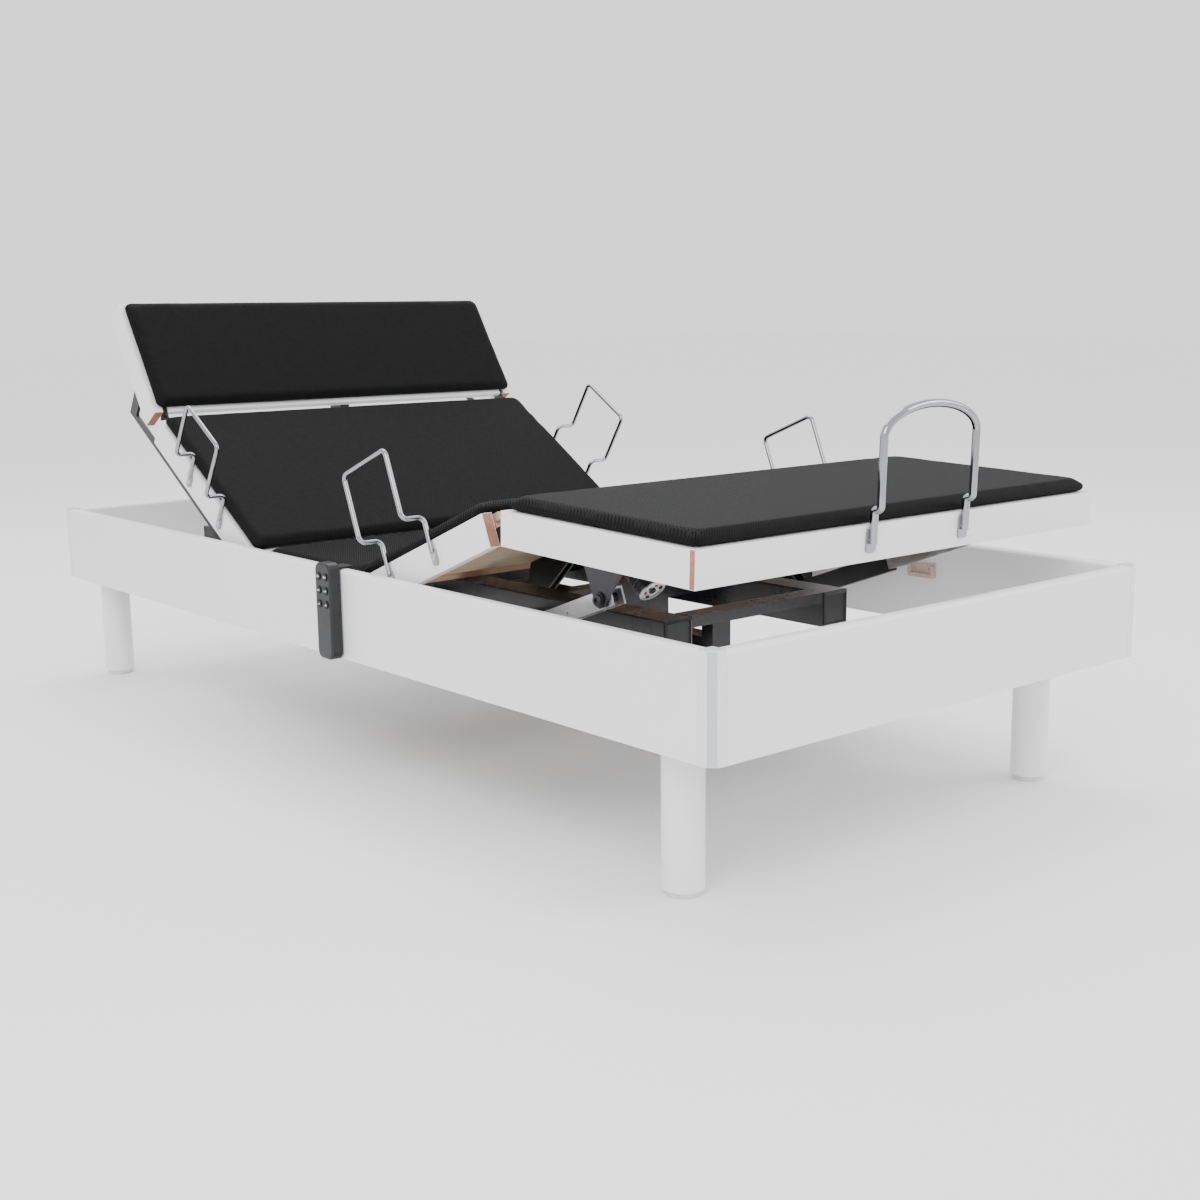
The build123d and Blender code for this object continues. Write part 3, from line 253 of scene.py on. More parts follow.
def copied(piece, place, name=None):
    """A copy with its own mesh, moved by a matrix."""
    twin = bpy.data.objects.new(name or piece.name + "_copy", piece.data.copy())
    bpy.context.scene.collection.objects.link(twin)
    twin.matrix_world = place
    return settled(twin, name or piece.name + "_copy")


def joined(pieces, name):
    """Several pieces as one object."""
    alone(pieces[0])
    for piece in pieces:
        piece.select_set(True)
    bpy.ops.object.join()
    bpy.context.object.name = name
    return bpy.context.object


def facing(point, direction):
    """A matrix that carries a piece drawn along +Z to a point and turns it to a direction."""
    return Matrix.Translation(point) @ Vector(direction).to_track_quat("Z", "Y").to_matrix().to_4x4()


def dress(piece, material, body, place=None):
    """Puts a finished piece in place, gives it its material and lets it ride on its body."""
    if place is not None:
        piece.matrix_world = place @ piece.matrix_world
        settled(piece, piece.name)
    piece.data.materials.clear()
    piece.data.materials.append(material)
    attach(piece, body)
    return piece


print("helpers ready")

# %% [markdown]
# ## Writing shaders as sums
# A material is a small calculation on surface position. The class below wraps a node's output
# so that +, -, * and / add Math nodes, which keeps each finish to a few readable lines. What is
# the same all over goes straight onto the shader's own sockets.

# %% Shader arithmetic


class Value:
    """An output socket that can be calculated with."""

    def __init__(self, finish, socket):
        self.finish = finish
        self.socket = socket

    def math(self, operation, first, second=0.0):
        return self.finish.node("ShaderNodeMath", {"operation": operation}, {0: first, 1: second})

    def __add__(self, other):
        return self.math("ADD", self, other)

    def __sub__(self, other):
        return self.math("SUBTRACT", self, other)

    def __rsub__(self, other):
        return self.math("SUBTRACT", other, self)

    def __mul__(self, other):
        return self.math("MULTIPLY", self, other)

    def __truediv__(self, other):
        return self.math("DIVIDE", self, other)

    __radd__ = __add__
    __rmul__ = __mul__

    def wave(self):
        """Sine of the value in turns, from 0 to 1."""
        return self.math("SINE", self * (2 * pi)) * 0.5 + 0.5


class Finish:
    """A material under construction: constants on its shader, and one method for every node."""

    def __init__(self, name, **constants):
        self.material = bpy.data.materials.new(name)
        self.material.use_nodes = True
        self.tree = self.material.node_tree
        self.shader = self.tree.nodes["Principled BSDF"]
        for socket, constant in constants.items():
            self.shader.inputs[socket.replace("_", " ")].default_value = constant

    def node(self, kind, settings, sockets, output=0):
        made = self.tree.nodes.new(kind)
        for key, value in settings.items():
            if key == "stops":
                self.set_stops(made.color_ramp, value)
            else:
                setattr(made, key, value)
        for socket, value in sockets.items():
            self.feed(made.inputs[socket], value)
        return Value(self, made.outputs[output])

    def set_stops(self, ramp, stops):
        while len(ramp.elements) < len(stops):
            ramp.elements.new(0.5)
        for element, (position, colour) in zip(ramp.elements, stops):
            element.position = position
            element.color = (*colour, 1)

    def feed(self, socket, value):
        if isinstance(value, Value):
            self.tree.links.new(value.socket, socket)
        else:
            socket.default_value = value

    def place(self, source="Object", scale=(1, 1, 1), rotation=(0, 0, 0)):
        """Surface position in metres, stretched and turned."""
        coordinates = self.node("ShaderNodeTexCoord", {}, {}, source)
        sockets = {"Vector": coordinates, "Scale": scale, "Rotation": rotation}
        return self.node("ShaderNodeMapping", {}, sockets)

    def parts(self, vector):
        """The three numbers of a vector."""
        first = self.node("ShaderNodeSeparateXYZ", {}, {"Vector": vector})
        outputs = first.socket.node.outputs
        return [Value(self, socket) for socket in outputs]

    def noise(self, vector, scale, detail=3.0, roughness=0.55):
        sockets = {"Vector": vector, "Scale": scale, "Detail": detail, "Roughness": roughness}
        return self.node("ShaderNodeTexNoise", {}, sockets)

    def ramp(self, value, *stops):
        return self.node("ShaderNodeValToRGB", {"stops": stops}, {"Fac": value})

    def between(self, value, low, high):
        """Steepens a 0 to 1 value so that low gives 0 and high gives 1."""
        sockets = {"Value": value, "From Min": low, "From Max": high}
        return self.node("ShaderNodeMapRange", {}, sockets)

    def blend(self, factor, first, second):
        """A colour between two colours."""
        sockets = {0: factor, 6: (*first, 1), 7: (*second, 1)}
        return self.node("ShaderNodeMix", {"data_type": "RGBA"}, sockets, 2)

    def surface(self, **outputs):
        """Feeds the shader's sockets."""
        for socket, value in outputs.items():
            self.feed(self.shader.inputs[socket.replace("_", " ")], value)

    def relief(self, height, distance, strength=1.0):
        """Raised detail, in metres."""
        bump = self.node("ShaderNodeBump", {}, {"Height": height, "Distance": distance, "Strength": strength})
        self.surface(Normal=bump)


print("shader arithmetic ready")

# %% [markdown]
# ## White laminate and lacquer
# The surround and the side boards are laminated board: a cool white with a faint orange-peel
# relief, and a sheen that is never quite even. Two noises do it, one broad and one very fine.

# %% White finishes


def white_finish(name, bright, dull, base_roughness, peel):
    finish = Finish(name, Specular_IOR_Level=0.45, Coat_Roughness=0.22)
    where = finish.place()
    broad = finish.noise(where, 4.0, 2.0)
    fine = finish.noise(where, 700.0, 2.0)
    finish.surface(Base_Color=finish.blend(broad, dull, bright), Roughness=base_roughness + broad * 0.10)
    finish.surface(Coat_Weight=0.18 + broad * 0.12)
    finish.relief(fine, peel)
    return finish.material


white_laminate = white_finish("white_laminate", (0.86, 0.86, 0.862), (0.82, 0.82, 0.825), 0.30, 0.00004)
board_laminate = white_finish("board_laminate", (0.84, 0.84, 0.845), (0.79, 0.79, 0.80), 0.34, 0.00005)
leg_lacquer = white_finish("leg_lacquer", (0.87, 0.87, 0.87), (0.83, 0.83, 0.835), 0.26, 0.00003)
profile_lacquer = white_finish("profile_lacquer", (0.80, 0.80, 0.81), (0.76, 0.76, 0.77), 0.28, 0.00002)
cap_plastic = white_finish("cap_plastic", (0.62, 0.63, 0.65), (0.57, 0.58, 0.60), 0.42, 0.00006)
print("white finishes", 5)

# %% [markdown]
# ## Raw board, wood and plywood
# Sawn board ends show pressed brown fibre. The laths under the thigh section are raw wood with
# long grain, and the decks are plywood. Grain is noise that is stretched along the fibre.

# %% Raw board, wood and plywood


def raw_board_finish():
    finish = Finish("raw_board", Specular_IOR_Level=0.25)
    fibre = finish.noise(finish.place(scale=(1, 1, 0.35)), 900.0, 4.0, 0.7)
    cloud = finish.noise(finish.place(), 60.0, 3.0)
    mix = fibre * 0.6 + cloud * 0.4
    finish.surface(Base_Color=finish.ramp(mix, (0.30, (0.22, 0.095, 0.060)), (0.55, (0.38, 0.185, 0.125)),
                                          (0.75, (0.55, 0.31, 0.22))), Roughness=0.78 + cloud * 0.15)
    finish.relief(fibre, 0.0003)
    return finish.material


def wood_finish(name, dark, middle, light, stretch):
    finish = Finish(name, Specular_IOR_Level=0.3)
    where = finish.place(scale=stretch)
    warp = finish.noise(where, 9.0, 2.0)
    grain = finish.noise(where, 70.0, 5.0, 0.65)
    pores = finish.noise(where, 420.0, 2.0)
    mix = warp * 0.45 + grain * 0.55
    finish.surface(Base_Color=finish.ramp(mix, (0.34, dark), (0.5, middle), (0.68, light)),
                   Roughness=0.55 + pores * 0.25)
    finish.relief(grain * 0.6 + pores * 0.4, 0.0004)
    return finish.material


raw_board = raw_board_finish()
lath_wood = wood_finish("lath_wood", (0.36, 0.20, 0.12), (0.56, 0.35, 0.23), (0.70, 0.49, 0.34), (0.12, 1, 1))
plywood = wood_finish("plywood", (0.42, 0.30, 0.19), (0.56, 0.43, 0.29), (0.66, 0.53, 0.38), (0.10, 1, 1))
print("wood finishes", 3)

# %% [markdown]
# ## Metals
# Powder coat is black with a pebbled relief. The link channels are zinc plated: a soft metal
# with faint rolling lines. The retainers are chrome, mirror-smooth but for finger smudges.

# %% Metals


def powder_finish(name, tone, roughness):
    finish = Finish(name, Specular_IOR_Level=0.5)
    where = finish.place()
    pebbles = finish.noise(where, 1100.0, 2.0)
    dust = finish.noise(where, 14.0, 4.0)
    lighter = tuple(channel * 2.2 for channel in tone)
    finish.surface(Base_Color=finish.blend(finish.between(dust, 0.45, 0.95), tone, lighter),
                   Roughness=roughness + dust * 0.18)
    finish.relief(pebbles, 0.00010)
    return finish.material


def zinc_finish():
    finish = Finish("zinc_plate", Metallic=1.0)
    lines = finish.noise(finish.place(scale=(1, 0.04, 1), rotation=(radians(-20), 0, 0)), 900.0, 2.0)
    bloom = finish.noise(finish.place(), 35.0, 4.0)
    finish.surface(Base_Color=finish.ramp(bloom * 0.6 + lines * 0.4, (0.3, (0.46, 0.47, 0.48)),
                                          (0.7, (0.74, 0.75, 0.76))), Roughness=0.24 + bloom * 0.22)
    finish.relief(lines, 0.00006)
    return finish.material


def chrome_finish():
    finish = Finish("polished_chrome", Metallic=1.0)
    smudge = finish.noise(finish.place(), 26.0, 5.0)
    finish.surface(Base_Color=finish.blend(smudge, (0.40, 0.40, 0.42), (0.26, 0.26, 0.28)),
                   Roughness=0.04 + finish.between(smudge, 0.45, 0.9) * 0.14)
    finish.relief(smudge, 0.00006)
    return finish.material


def satin_finish():
    finish = Finish("satin_aluminium", Metallic=1.0)
    lines = finish.noise(finish.place(scale=(1, 1, 0.02)), 1300.0, 2.0)
    finish.surface(Base_Color=finish.blend(lines, (0.50, 0.51, 0.54), (0.66, 0.67, 0.70)),
                   Roughness=0.34 + lines * 0.14)
    finish.relief(lines, 0.00005)
    return finish.material


black_steel = powder_finish("black_powder_coat", (0.007, 0.0065, 0.008), 0.30)
beam_steel = powder_finish("beam_powder_coat", (0.007, 0.006, 0.008), 0.20)
zinc_plate = zinc_finish()
polished_chrome = chrome_finish()
satin_aluminium = satin_finish()
print("metal finishes", 5)

# %% [markdown]
# ## Plastics and rubber
# Moulded parts carry a fine spark-eroded grain. The handset is charcoal, the keys are softer
# and darker, and the small rail brackets are a beige nylon.

# %% Plastics and rubber


def plastic_finish(name, tone, roughness, grain_scale=1500.0, grain=0.00006):
    finish = Finish(name, Specular_IOR_Level=0.42)
    where = finish.place()
    broad = finish.noise(where, 30.0, 3.0)
    pits = finish.noise(where, grain_scale, 2.0)
    worn = tuple(min(1.0, channel * 1.25 + 0.004) for channel in tone)
    finish.surface(Base_Color=finish.blend(finish.between(broad, 0.4, 0.8), tone, worn),
                   Roughness=roughness + pits * 0.12)
    finish.relief(pits, grain)
    return finish.material


handset_plastic = plastic_finish("handset_plastic", (0.008, 0.008, 0.009), 0.34)
key_rubber = plastic_finish("key_rubber", (0.004, 0.004, 0.0045), 0.45)
drive_plastic = plastic_finish("drive_plastic", (0.007, 0.007, 0.008), 0.30)
glide_plastic = plastic_finish("glide_plastic", (0.66, 0.66, 0.67), 0.5)
beige_nylon = plastic_finish("beige_nylon", (0.52, 0.41, 0.35), 0.40)
dark_hole = plastic_finish("dark_recess", (0.010, 0.009, 0.010), 0.7)
red_plastic = plastic_finish("red_terminal", (0.42, 0.015, 0.03), 0.3)
symbol_print = plastic_finish("symbol_print", (0.78, 0.79, 0.80), 0.5)
print("plastic finishes", 8)

# %% [markdown]
# ## Spacer mesh
# The pads wear a black three-dimensional mesh: two knitted faces held apart by yarn. From close
# by it is a lattice of small diamond cells in slanting rows. Two crossed waves make the cells
# a third makes ribs, and a finer pair makes the yarn. The pattern reads the pad's UV map, which is in
# metres, so every pad has the same knit.

# %% Spacer mesh
KNIT_PITCH = 0.0045


def spacer_mesh_finish():
    finish = Finish("spacer_mesh_cloth", Specular_IOR_Level=0.12)
    across, along, _ = finish.parts(finish.place("UV"))
    sway = finish.noise(finish.place("UV"), 5.0, 2.0)
    rising = ((across + along * 0.62) / KNIT_PITCH + sway * 0.8).wave()
    falling = ((across - along * 0.62) / KNIT_PITCH + sway * 0.8).wave()
    cells = rising * falling
    ribs = ((along + sway * 0.004) / 0.0048).wave()
    yarn = ((across + along) / 0.0013).wave() * ((across - along) / 0.0013).wave()
    lint = finish.noise(finish.place("UV"), 60.0, 5.0, 0.7)
    height = (1 - finish.between(cells, 0.25, 0.95)) * 0.7 + ribs * 0.2 + yarn * 0.1
    # tone paints raised knit lighter, a painted highlight on the yarn that lint noise breaks up; the low cells
    # stay near black
    tone = finish.between(height, 0.55, 1.0) * finish.between(lint, 0.3, 0.75)
    finish.surface(Base_Color=finish.blend(tone, (0.0012, 0.0012, 0.0013), (0.0075, 0.0070, 0.0076)),
                   Roughness=0.62 + cells * 0.3)
    finish.relief(height, 0.0005)
    return finish.material


spacer_mesh = spacer_mesh_finish()
print("spacer mesh ready")

# %% [markdown]
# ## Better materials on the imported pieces
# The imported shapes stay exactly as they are; only their material slots change.

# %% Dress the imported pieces
NODE_FINISHES = (
    (white_laminate, ("rail_left", "rail_right", "rail_foot", "rail_head")),
    (profile_lacquer, ("corner_profiles",)),
    (leg_lacquer, ("legs",)),
    (glide_plastic, ("leg_glides",)),
    (board_laminate, ("seat_boards", "back_boards", "head_boards", "thigh_boards", "calf_boards",
                      "foot_board", "back_deck", "head_deck", "calf_deck")),
    (plywood, ("seat_deck", "thigh_deck")),
    (beam_steel, ("frame_beam_left", "frame_beam_right", "frame_crossbars")),
    (black_steel, ("hinge_plates", "leg_plates", "drive_hangers", "back_lift_frame", "thigh_lift_frame",
                   "head_tilt_frame", "tilt_arms", "calf_brackets", "link_tubes")),
    (zinc_plate, ("link_channels", "pivot_pins", "back_drive_rod", "leg_drive_rod", "head_drive_rod")),
    (polished_chrome, ("back_retainer_left", "back_retainer_right", "thigh_retainer_left",
                       "thigh_retainer_right", "foot_retainer")),
    (drive_plastic, ("back_drive_body", "leg_drive_body", "head_drive_body", "control_box", "calf_motor")),
    (lath_wood, ("thigh_slats", "seat_bearers")),
    (beige_nylon, ("fixing_brackets",)),
    (handset_plastic, ("handset_case",)),
    (key_rubber, ("button_head_down", "button_head_up", "button_back_down", "button_back_up",
                  "button_legs_down", "button_legs_up")),
)
dressed = 0
for finish_material, nodes in NODE_FINISHES:
    for node in nodes:
        packed = frame["nodes"][node]
        packed.data.materials.clear()
        packed.data.materials.append(finish_material)
        dressed += 1
print("packed pieces dressed", dressed)

# %% [markdown]
# ## Padded covers
# Each section carries a foam pad in a mesh cover, crowned in the middle with soft edges. A flat
# slab with a texture looks like a tile, so the pad is inflated: a slim slab is remeshed into
# small even cells, cloth pressure blows it up for twenty steps, and the swelling is capped so
# that it stays the size of its space. Its underside is kept flat, as it lies on the deck.

# %% Padded covers
VOXEL = 6 * MM
SWELL = 7.5 * MM
SIDE_SWELL = 1.6 * MM
ROOM_TO_SWELL = 7.0 * MM
PAD_CORNER = 13 * MM
PAD_EDGE = 5 * MM
CLOTH_PRESSURE = 4.0
CLOTH_STEPS = 20


def pad_slab(section):
    """A slim slab in the pad's space, in the section's own directions."""
    low, high = box_along(f"{section}_pad", SECTIONS[section])
    inset = Vector((1.5 * MM, 1.5 * MM, 0))
    top = high.z - ROOM_TO_SWELL
    pad_high = (high.x - inset.x, high.y - inset.y, top)
    pad = slab(f"{section}_cover", low + inset + Vector((0, 0, 0.4 * MM)), pad_high)
    bevel_edges(pad, upright_edge, PAD_CORNER, 5)
    modified(pad, "BEVEL", width=PAD_EDGE, segments=3, limit_method="ANGLE", angle_limit=radians(50))
    return pad


def inflated(pad):
    """Cloth pressure for twenty steps, with each point's travel capped."""
    modified(pad, "REMESH", mode="VOXEL", voxel_size=VOXEL)
    modified(pad, "SMOOTH", factor=0.5, iterations=2)
    rest = [vertex.co.copy() for vertex in pad.data.vertices]
    cloth = pad.modifiers.new("cloth", "CLOTH")
    cloth.settings.quality = 4
    cloth.settings.use_pressure = True
    cloth.settings.uniform_pressure_force = CLOTH_PRESSURE
    cloth.settings.effector_weights.gravity = 0.0
    cloth.collision_settings.use_collision = False
    cloth.point_cache.frame_start = 1
    cloth.point_cache.frame_end = CLOTH_STEPS
    for step in range(1, CLOTH_STEPS + 1):
        bpy.context.scene.frame_set(step)
    evaluated = pad.evaluated_get(bpy.context.evaluated_depsgraph_get())
    blown = [vertex.co.copy() for vertex in evaluated.data.vertices]
    pad.modifiers.remove(cloth)
    bpy.context.scene.frame_set(1)
    for vertex, start, end in zip(pad.data.vertices, rest, blown):
        travel = end - start
        sideways = Vector((travel.x, travel.y, 0))
        if sideways.length > SIDE_SWELL:
            sideways *= SIDE_SWELL / sideways.length
        lift = min(max(travel.z, 0.0), SWELL)
        vertex.co = start + sideways + Vector((0, 0, lift))
    return pad


def knit_map(pad):
    """A UV map in metres, so that the knit has its real pitch."""
    layer = pad.data.uv_layers.new(name="knit")
    for loop in pad.data.loops:
        point = pad.data.vertices[loop.vertex_index].co
        layer.data[loop.index].uv = (point.x + point.z, point.y + point.z)


for section, place in SECTIONS.items():
    cover = pad_slab(section)
    inflated(cover)
    modified(cover, "SUBSURF", levels=1, render_levels=1)
    knit_map(cover)
    smooth(cover, 60)
    dress(cover, spacer_mesh, BODY[section], place)
    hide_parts(f"{section}_pad")
    print(cover.name, "faces", len(cover.data.polygons))

# %% [markdown]
# ## Raw board ends
# The side boards are sawn from laminated board, so their ends show brown fibre framed by the
# thin white faces. Each end gets a thin plate, just smaller than the board.

# %% Raw board ends
FACE = 0.7 * MM
PROUD = 0.25 * MM
RAW_LINE = 10 * MM              # uncovered part of the foot board's ends


def end_plates(node, place, at_far_end=(False, True)):
    """Thin plates on the ends of a section's two side boards."""
    low, high = box_along(node, place)
    thickness = 18 * MM
    plates = []
    for inner, outer in ((low.x, low.x + thickness), (high.x - thickness, high.x)):
        for far in at_far_end:
            end = high.y if far else low.y
            corner_low = (inner + FACE, end - PROUD, low.z + FACE)
            corner_high = (outer - FACE, end + PROUD, high.z - FACE)
            plates.append(slab("plate", corner_low, corner_high, 0.15 * MM, 1))
    return plates


for section, place in SECTIONS.items():
    ends = (False,) if section == "calf" else (False, True)
    plates = joined(end_plates(f"{section}_boards", place, ends), f"{section}_board_ends")
    dress(plates, raw_board, BODY[section], place)

foot_low, foot_high = box_along("foot_board", SECTIONS["calf"])
plates = []
for face_x in (foot_low.x, foot_high.x):
    corner_low = (face_x - PROUD, foot_high.y - RAW_LINE, foot_low.z + FACE)
    corner_high = (face_x + PROUD, foot_high.y - FACE, foot_high.z - FACE)
    plates.append(slab("plate", corner_low, corner_high, 0.15 * MM, 1))
dress(joined(plates, "foot_board_ends"), raw_board, "calf", SECTIONS["calf"])
print("board ends", 6)

# %% [markdown]
# ## Corner profiles
# A white extrusion joins the rails at each corner. Its chamfer holds a satin aluminium strip,
# a pale cap closes its top, and a thin grey strip where each rail meets it is a painted shadow line.

# %% Corner strips, caps and painted shadow lines
corner_low, corner_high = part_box("corner_profiles")
CORNER = 26 * MM
CHAMFER = 13 * MM
strips, caps, painted_shadow_lines = [], [], []
for side in (-1, 1):
    for end in (-1, 1):
        corner = Vector((side * corner_high.x, end * corner_high.y, 0))
        inward = Vector((-side, -end, 0))
        middle = corner + inward * CHAMFER / 2
        height = corner_high.z - corner_low.z
        strip = slab("strip", (-6.5 * MM, -0.5 * MM, 1 * MM), (6.5 * MM, 0.5 * MM, height - 1 * MM), 0.3 * MM)
        turn = Matrix.Rotation(atan2(-inward.x, inward.y), 4, "Z")
        strips.append(copied(strip, Matrix.Translation(middle + Vector((0, 0, corner_low.z))) @ turn))
        bpy.data.objects.remove(strip)
        cap_half = CORNER / 2 - 1 * MM
        cap = slab("cap", (-cap_half, -cap_half, 0), (cap_half, cap_half, 1.6 * MM))

        def outer_edge(first, second):
            outer = all(point.x * side > 0 and point.y * end > 0 for point in (first, second))
            return outer and upright_edge(first, second)

        bevel_edges(cap, outer_edge, CHAMFER - 1 * MM, 1)
        modified(cap, "BEVEL", width=0.6 * MM, segments=2, limit_method="ANGLE", angle_limit=radians(40))
        centre = corner + inward * CORNER / 2
        caps.append(copied(cap, Matrix.Translation((centre.x, centre.y, corner_high.z - 0.4 * MM))))
        bpy.data.objects.remove(cap)
        # Grey strips on the two seams of each corner are painted shadow lines where the rail ends meet the profile
        # face to face
        seam_x = corner + Vector((-side * CORNER, 0, 0))
        seam_y = corner + Vector((0, -end * CORNER, 0))
        thin = 0.35 * MM
        sunk_in = 0.12 * MM
        for seam, across in ((seam_x, Vector((thin, sunk_in, 0))), (seam_y, Vector((sunk_in, thin, 0)))):
            seam_low = seam - across + Vector((0, 0, corner_low.z + 1 * MM))
            seam_high = seam + across + Vector((0, 0, corner_high.z - 8 * MM))
            painted_shadow_lines.append(slab("hairline", seam_low, seam_high))
dress(joined(strips, "corner_strips"), satin_aluminium, "base")
dress(joined(caps, "corner_caps"), cap_plastic, "base")
# The seam strips reuse the cap grey as painted shadow lines
dress(joined(painted_shadow_lines, "corner_hairlines"), cap_plastic, "base")
print("corner trims", 3)

# %% [markdown]
# ## Screws
# One button-head screw with a hexagon socket is modelled once and copied wherever something is
# fastened: retainer eyelets, brackets, leg plates and motor.

# %% Screws


def button_screw(radius, height):
    """A domed screw head on its washer, with a hexagon socket, standing along +Z."""
    head = disc("screw_head", (0, 0, 0), radius, height, radius * 0.35, 28)
    socket = disc("socket", (0, 0, height * 0.4), radius * 0.42, height, 0.0, 6)
    cut(head, socket)
    washer = disc("washer", (0, 0, -0.2 * MM), radius * 1.25, 0.7 * MM, 0.2 * MM, 28)
    return smooth(joined([head, washer], "button_screw"))


def screws_at(name, screw, spots, material, body):
    """Copies of a screw at (point, direction) pairs, as one piece."""
    copies = [copied(screw, facing(point, direction)) for point, direction in spots]
    return dress(joined(copies, name), material, body)


EYELET = 4.0 * MM
PLATE_HOLES = ((-40, -38), (-40, 8), (30, -38), (30, 8))
eyelet_screw = button_screw(4.4 * MM, 2.6 * MM)
for section, body in (("back", "back"), ("thigh", "thigh")):
    place = SECTIONS[section]
    spots = []
    for side in ("left", "right"):
        low, high = box_along(f"{section}_retainer_{side}", place)
        outward = 1 if low.x > 0 else -1
        board_face = abs(box_along(f"{section}_boards", place)[0].x)
        for along in (low.y + 7 * MM, high.y - 7 * MM):
            point = place @ Vector((outward * (board_face + EYELET), along, low.z + 14 * MM))
            spots.append((point, place.to_3x3() @ Vector((outward, 0, 0))))
    screws_at(f"{section}_retainer_screws", eyelet_screw, spots, zinc_plate, body)

calf_place = SECTIONS["calf"]
retainer_high = box_along("foot_retainer", calf_place)[1]
tab_x = retainer_high.x - 10 * MM
spots = []
for side in (-1, 1):
    point = calf_place @ Vector((side * tab_x, foot_high.y + 3 * MM, -21 * MM))
    spots.append((point, calf_place.to_3x3() @ Vector((0, 1, 0))))
screws_at("foot_retainer_screws", eyelet_screw, spots, zinc_plate, "calf")

plate_screw = button_screw(4.5 * MM, 2.8 * MM)
plate_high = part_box("leg_plates")[1]
leg_low, leg_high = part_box("legs")
leg_radius = 30.5 * MM
spots = []
for side in (-1, 1):
    for leg_y in (leg_low.y + leg_radius, leg_high.y - leg_radius):
        for corner in PLATE_HOLES:
            across = side * (leg_high.x - leg_radius + corner[0] * MM)
            spots.append((Vector((across, leg_y + corner[1] * MM, plate_high.z)), (0, 0, 1)))
screws_at("leg_plate_screws", plate_screw, spots, zinc_plate, "base")
print("screw groups", 4)

# %% [markdown]
# ## Level links
# Where the black tube of a link meets its zinc channel there is a black boss with a bright cap,
# and a large bolt head holds the channel to its triangular bracket.

# %% Link bosses and bolts
BOLT_HEAD_X = 415.5 * MM
calf_pivot = calf_place @ Vector((0, 205.5 * MM, -105.6 * MM))
anchor = Vector(JOINTS["link_swing"]["pos_m"])
arm = calf_pivot - anchor
link_place = section_matrix(anchor, atan2(arm.z, -arm.y) * 180 / pi, 0, False)
tube_high = box_along("link_tubes", link_place)[1]
bosses, boss_caps, bolts = [], [], []
for side in (-1, 1):
    outward = Vector((side, 0, 0))
    tube_face = tube_high.x
    boss_foot = link_place @ Vector((-side * tube_face, tube_high.y - 17 * MM, 0))
    cap_foot = boss_foot + outward * 5 * MM
    boss = disc("boss", (0, 0, 0), 16 * MM, 5 * MM, 1.4 * MM)
    bosses.append(copied(boss, facing(boss_foot, outward)))
    bpy.data.objects.remove(boss)
    cap = sunk(disc("cap", (0, 0, 0), 8 * MM, 2.2 * MM, 0.7 * MM), 3 * MM, 0.8 * MM, (0, 0, 1))
    boss_caps.append(copied(cap, facing(cap_foot, outward)))
    bpy.data.objects.remove(cap)
    bolt_foot = calf_pivot.copy()
    bolt_foot.x = side * BOLT_HEAD_X
    bolt = button_screw(9 * MM, 4.5 * MM)
    bolts.append(copied(bolt, facing(bolt_foot, outward)))
    bpy.data.objects.remove(bolt)
dress(joined(bosses, "link_bosses"), drive_plastic, "links")
dress(joined(boss_caps, "link_boss_caps"), satin_aluminium, "links")
dress(joined(bolts, "bracket_bolts"), black_steel, "calf")
print("link bosses and bolts ready")

# %% [markdown]
# ## The motor under the calf section
# Its body is ribbed to shed heat, and its bright end plate carries screws and two red
# terminals. Rings and plate are drawn along +Z and then leaned with the motor.

# %% Motor ribs and end plate
MOTOR_SLOPE = radians(41.8)
motor_lean = Vector((0, cos(MOTOR_SLOPE), -sin(MOTOR_SLOPE)))
motor_end = calf_place @ Vector((0, 189.7 * MM, -108.0 * MM))
motor_end.x = -300 * MM
motor_place = facing(motor_end, calf_place.to_3x3() @ motor_lean)
RIB_PITCH = 6.2
RIB_RADIUS = 23 * MM
MOTOR_RADIUS = 21 * MM
rings = []
for turn in range(1, 10):
    rings.append(disc("ring", (0, 0, -(4 + RIB_PITCH * turn) * MM), RIB_RADIUS, 2.6 * MM, 0.8 * MM, 48))
dress(smooth(joined(rings, "motor_ribs")), drive_plastic, "calf", motor_place)
plate = disc("motor_end_plate", (0, 0, -1 * MM), MOTOR_RADIUS, 4 * MM, 1.2 * MM, 48)
sunk(plate, 3 * MM, 1.4 * MM, (0, 0, 1))
dress(smooth(plate), zinc_plate, "calf", motor_place)
details = []
motor_screw = button_screw(2.6 * MM, 1.8 * MM)
for turn in range(3):
    angle = 2 * pi * turn / 3 + 0.4
    spot = Vector((cos(angle), sin(angle), 0)) * 13.5 * MM + Vector((0, 0, 1.6 * MM))
    details.append(copied(motor_screw, Matrix.Translation(spot)))
bpy.data.objects.remove(motor_screw)
dress(joined(details, "motor_screws"), black_steel, "calf", motor_place)
terminals = []
for angle in (1.6, 3.4):
    spot = Vector((cos(angle), sin(angle), 0)) * 12.5 * MM + Vector((0, 0, 1.6 * MM))
    terminals.append(disc("terminal", spot, 2.4 * MM, 2.4 * MM, 0.6 * MM, 20))
bush = disc("bush", (0, 0, 1.6 * MM), 5.5 * MM, 2.2 * MM, 0.8 * MM, 32)
dress(smooth(joined(terminals, "motor_terminals")), red_plastic, "calf", motor_place)
dress(smooth(bush), dark_hole, "calf", motor_place)
bush.name = "motor_bush"
print("motor details ready")

# %% [markdown]
# ## Frame details
# The beams' foot ends are closed by black plugs, and each drive's tube ends in a wiper ring.

# %% Beam plugs and wiper rings
for side in ("left", "right"):
    low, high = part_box(f"frame_beam_{side}")
    plug = slab("plug", (low.x + 1.5 * MM, low.y - 2 * MM, low.z + 1.5 * MM),
                (high.x - 1.5 * MM, low.y + 1 * MM, high.z - 1.5 * MM), 0.8 * MM)
    sunk(plug, 4 * MM, 1.0 * MM, (0, -1, 0))
    plug.name = f"beam_plug_{side}"
    dress(plug, drive_plastic, "base")

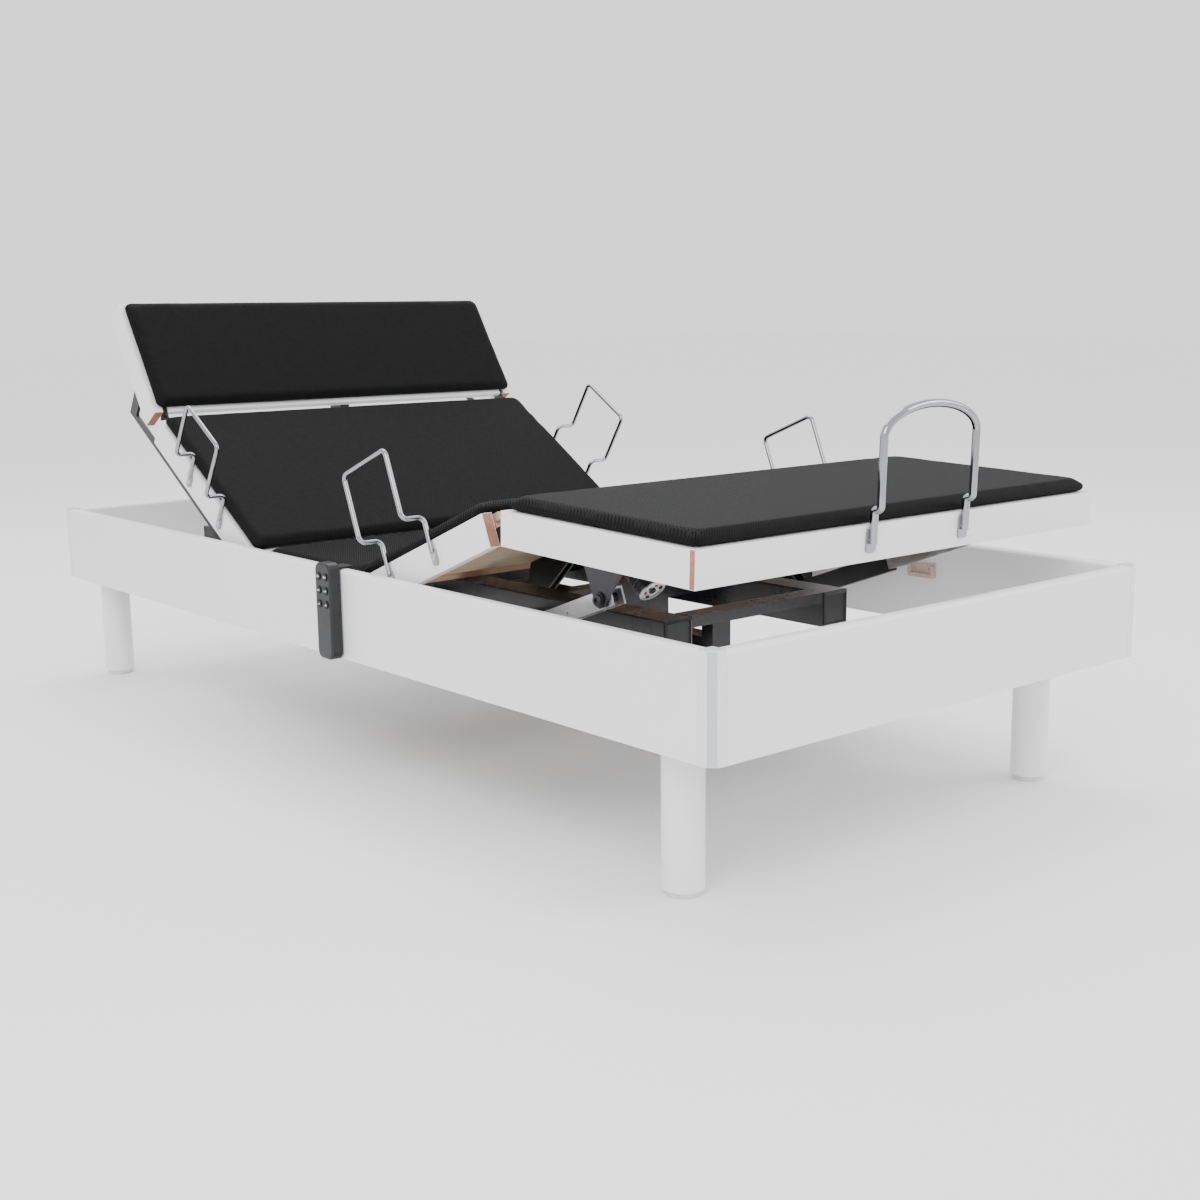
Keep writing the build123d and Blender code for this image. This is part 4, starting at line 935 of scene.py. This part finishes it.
for node, axis_x, axis_z in (("back_drive_body", 0.070, 0.251), ("leg_drive_body", -0.070, 0.251)):
    low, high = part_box(node)
    ring = disc("ring", (0, 0, -14 * MM), 18 * MM, 12 * MM, 1.5 * MM, 48)
    tool = disc("tool", (0, 0, -30 * MM), 16.05 * MM, 60 * MM, 0.0, 48)
    cut(ring, tool)
    wiper = copied(ring, facing((axis_x, high.y, axis_z), (0, 1, 0)), node.replace("body", "wiper"))
    bpy.data.objects.remove(ring)
    dress(smooth(wiper), drive_plastic, "base")
print("frame details ready")

# %% [markdown]
# ## Handset symbols
# The keys carry plain printed marks: an arrow up or down beside a short bar for the section it
# moves. The marks ride on their own keys, so they travel when a key is pressed.

# %% Handset symbols


def symbol(name, rising, bars):
    """A triangle that points up or down beside small bars, drawn flat with +Z outwards."""
    alone(None)
    turn = -pi / 2 if not rising else pi / 2
    bpy.ops.mesh.primitive_cylinder_add(vertices=3, radius=1.9 * MM, depth=0.24 * MM,
                                        location=(2.4 * MM, 0, 0), rotation=(0, 0, turn - pi / 2))
    pieces = [settled(bpy.context.object, "arrow")]
    for bar in range(bars):
        left = (-3.8 + 0.2) * MM
        base = (-1.6 + bar * 1.5) * MM
        pieces.append(slab("bar", (left, base, -0.12 * MM), (left + 3.6 * MM, base + 0.7 * MM, 0.12 * MM)))
    return joined(pieces, name)


for group, bars in (("head", 3), ("back", 2), ("legs", 1)):
    for way in ("down", "up"):
        low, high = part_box(f"button_{group}_{way}")
        centre = Vector((low.x, (low.y + high.y) / 2, (low.z + high.z) / 2))
        upright_place = Matrix.Translation(centre) @ Matrix(((0, 0, -1), (-1, 0, 0), (0, 1, 0))).to_4x4()
        dress(symbol(f"symbol_{group}_{way}", way == "up", bars), symbol_print,
              f"key_{group}_{way}", upright_place)
print("handset symbols", 6)

# %% [markdown]
# ## Floor and light
# A plain pale floor runs to the horizon. Big soft lights give the white boards slight shading,
# and the darker gaps between them give the chrome something to reflect.

# %% Floor and light
for spare in (eyelet_screw, plate_screw):
    bpy.data.objects.remove(spare)
alone(None)
bpy.ops.mesh.primitive_plane_add(size=60, location=(0, 0, 0))
floor = settled(bpy.context.object, "studio_floor")
floor_finish = Finish("studio_floor_paint", Specular_IOR_Level=0.15)
floor_finish.surface(Base_Color=(0.97, 0.97, 0.97, 1), Roughness=0.85)
floor.data.materials.append(floor_finish.material)
floor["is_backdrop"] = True

world = bpy.data.worlds.new("studio")
bpy.context.scene.world = world
world.use_nodes = True
world.node_tree.nodes["Background"].inputs["Color"].default_value = (0.98, 0.985, 1.0, 1)
world.node_tree.nodes["Background"].inputs["Strength"].default_value = 1.5


def soft_light(name, place, target, size, power):
    """A square softbox that looks at a point."""
    lamp = bpy.data.lights.new(name, "AREA")
    lamp.size = size
    lamp.energy = power
    light = bpy.data.objects.new(name, lamp)
    bpy.context.scene.collection.objects.link(light)
    towards = Vector(target) - Vector(place)
    light.matrix_world = Matrix.Translation(place) @ towards.to_track_quat("-Z", "Y").to_matrix().to_4x4()


soft_light("key_light", (-3.2, -2.6, 3.4), (0, 0, 0.4), 2.4, 120)
soft_light("fill_light", (3.4, -3.0, 2.4), (0, 0, 0.4), 2.2, 60)
soft_light("top_light", (0.5, 1.2, 3.8), (0, 0.2, 0.4), 3.0, 90)
print("lights", 3)

# %% Sizes
low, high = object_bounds()
print("visual box", [round(value, 4) for value in (*low, *high)])
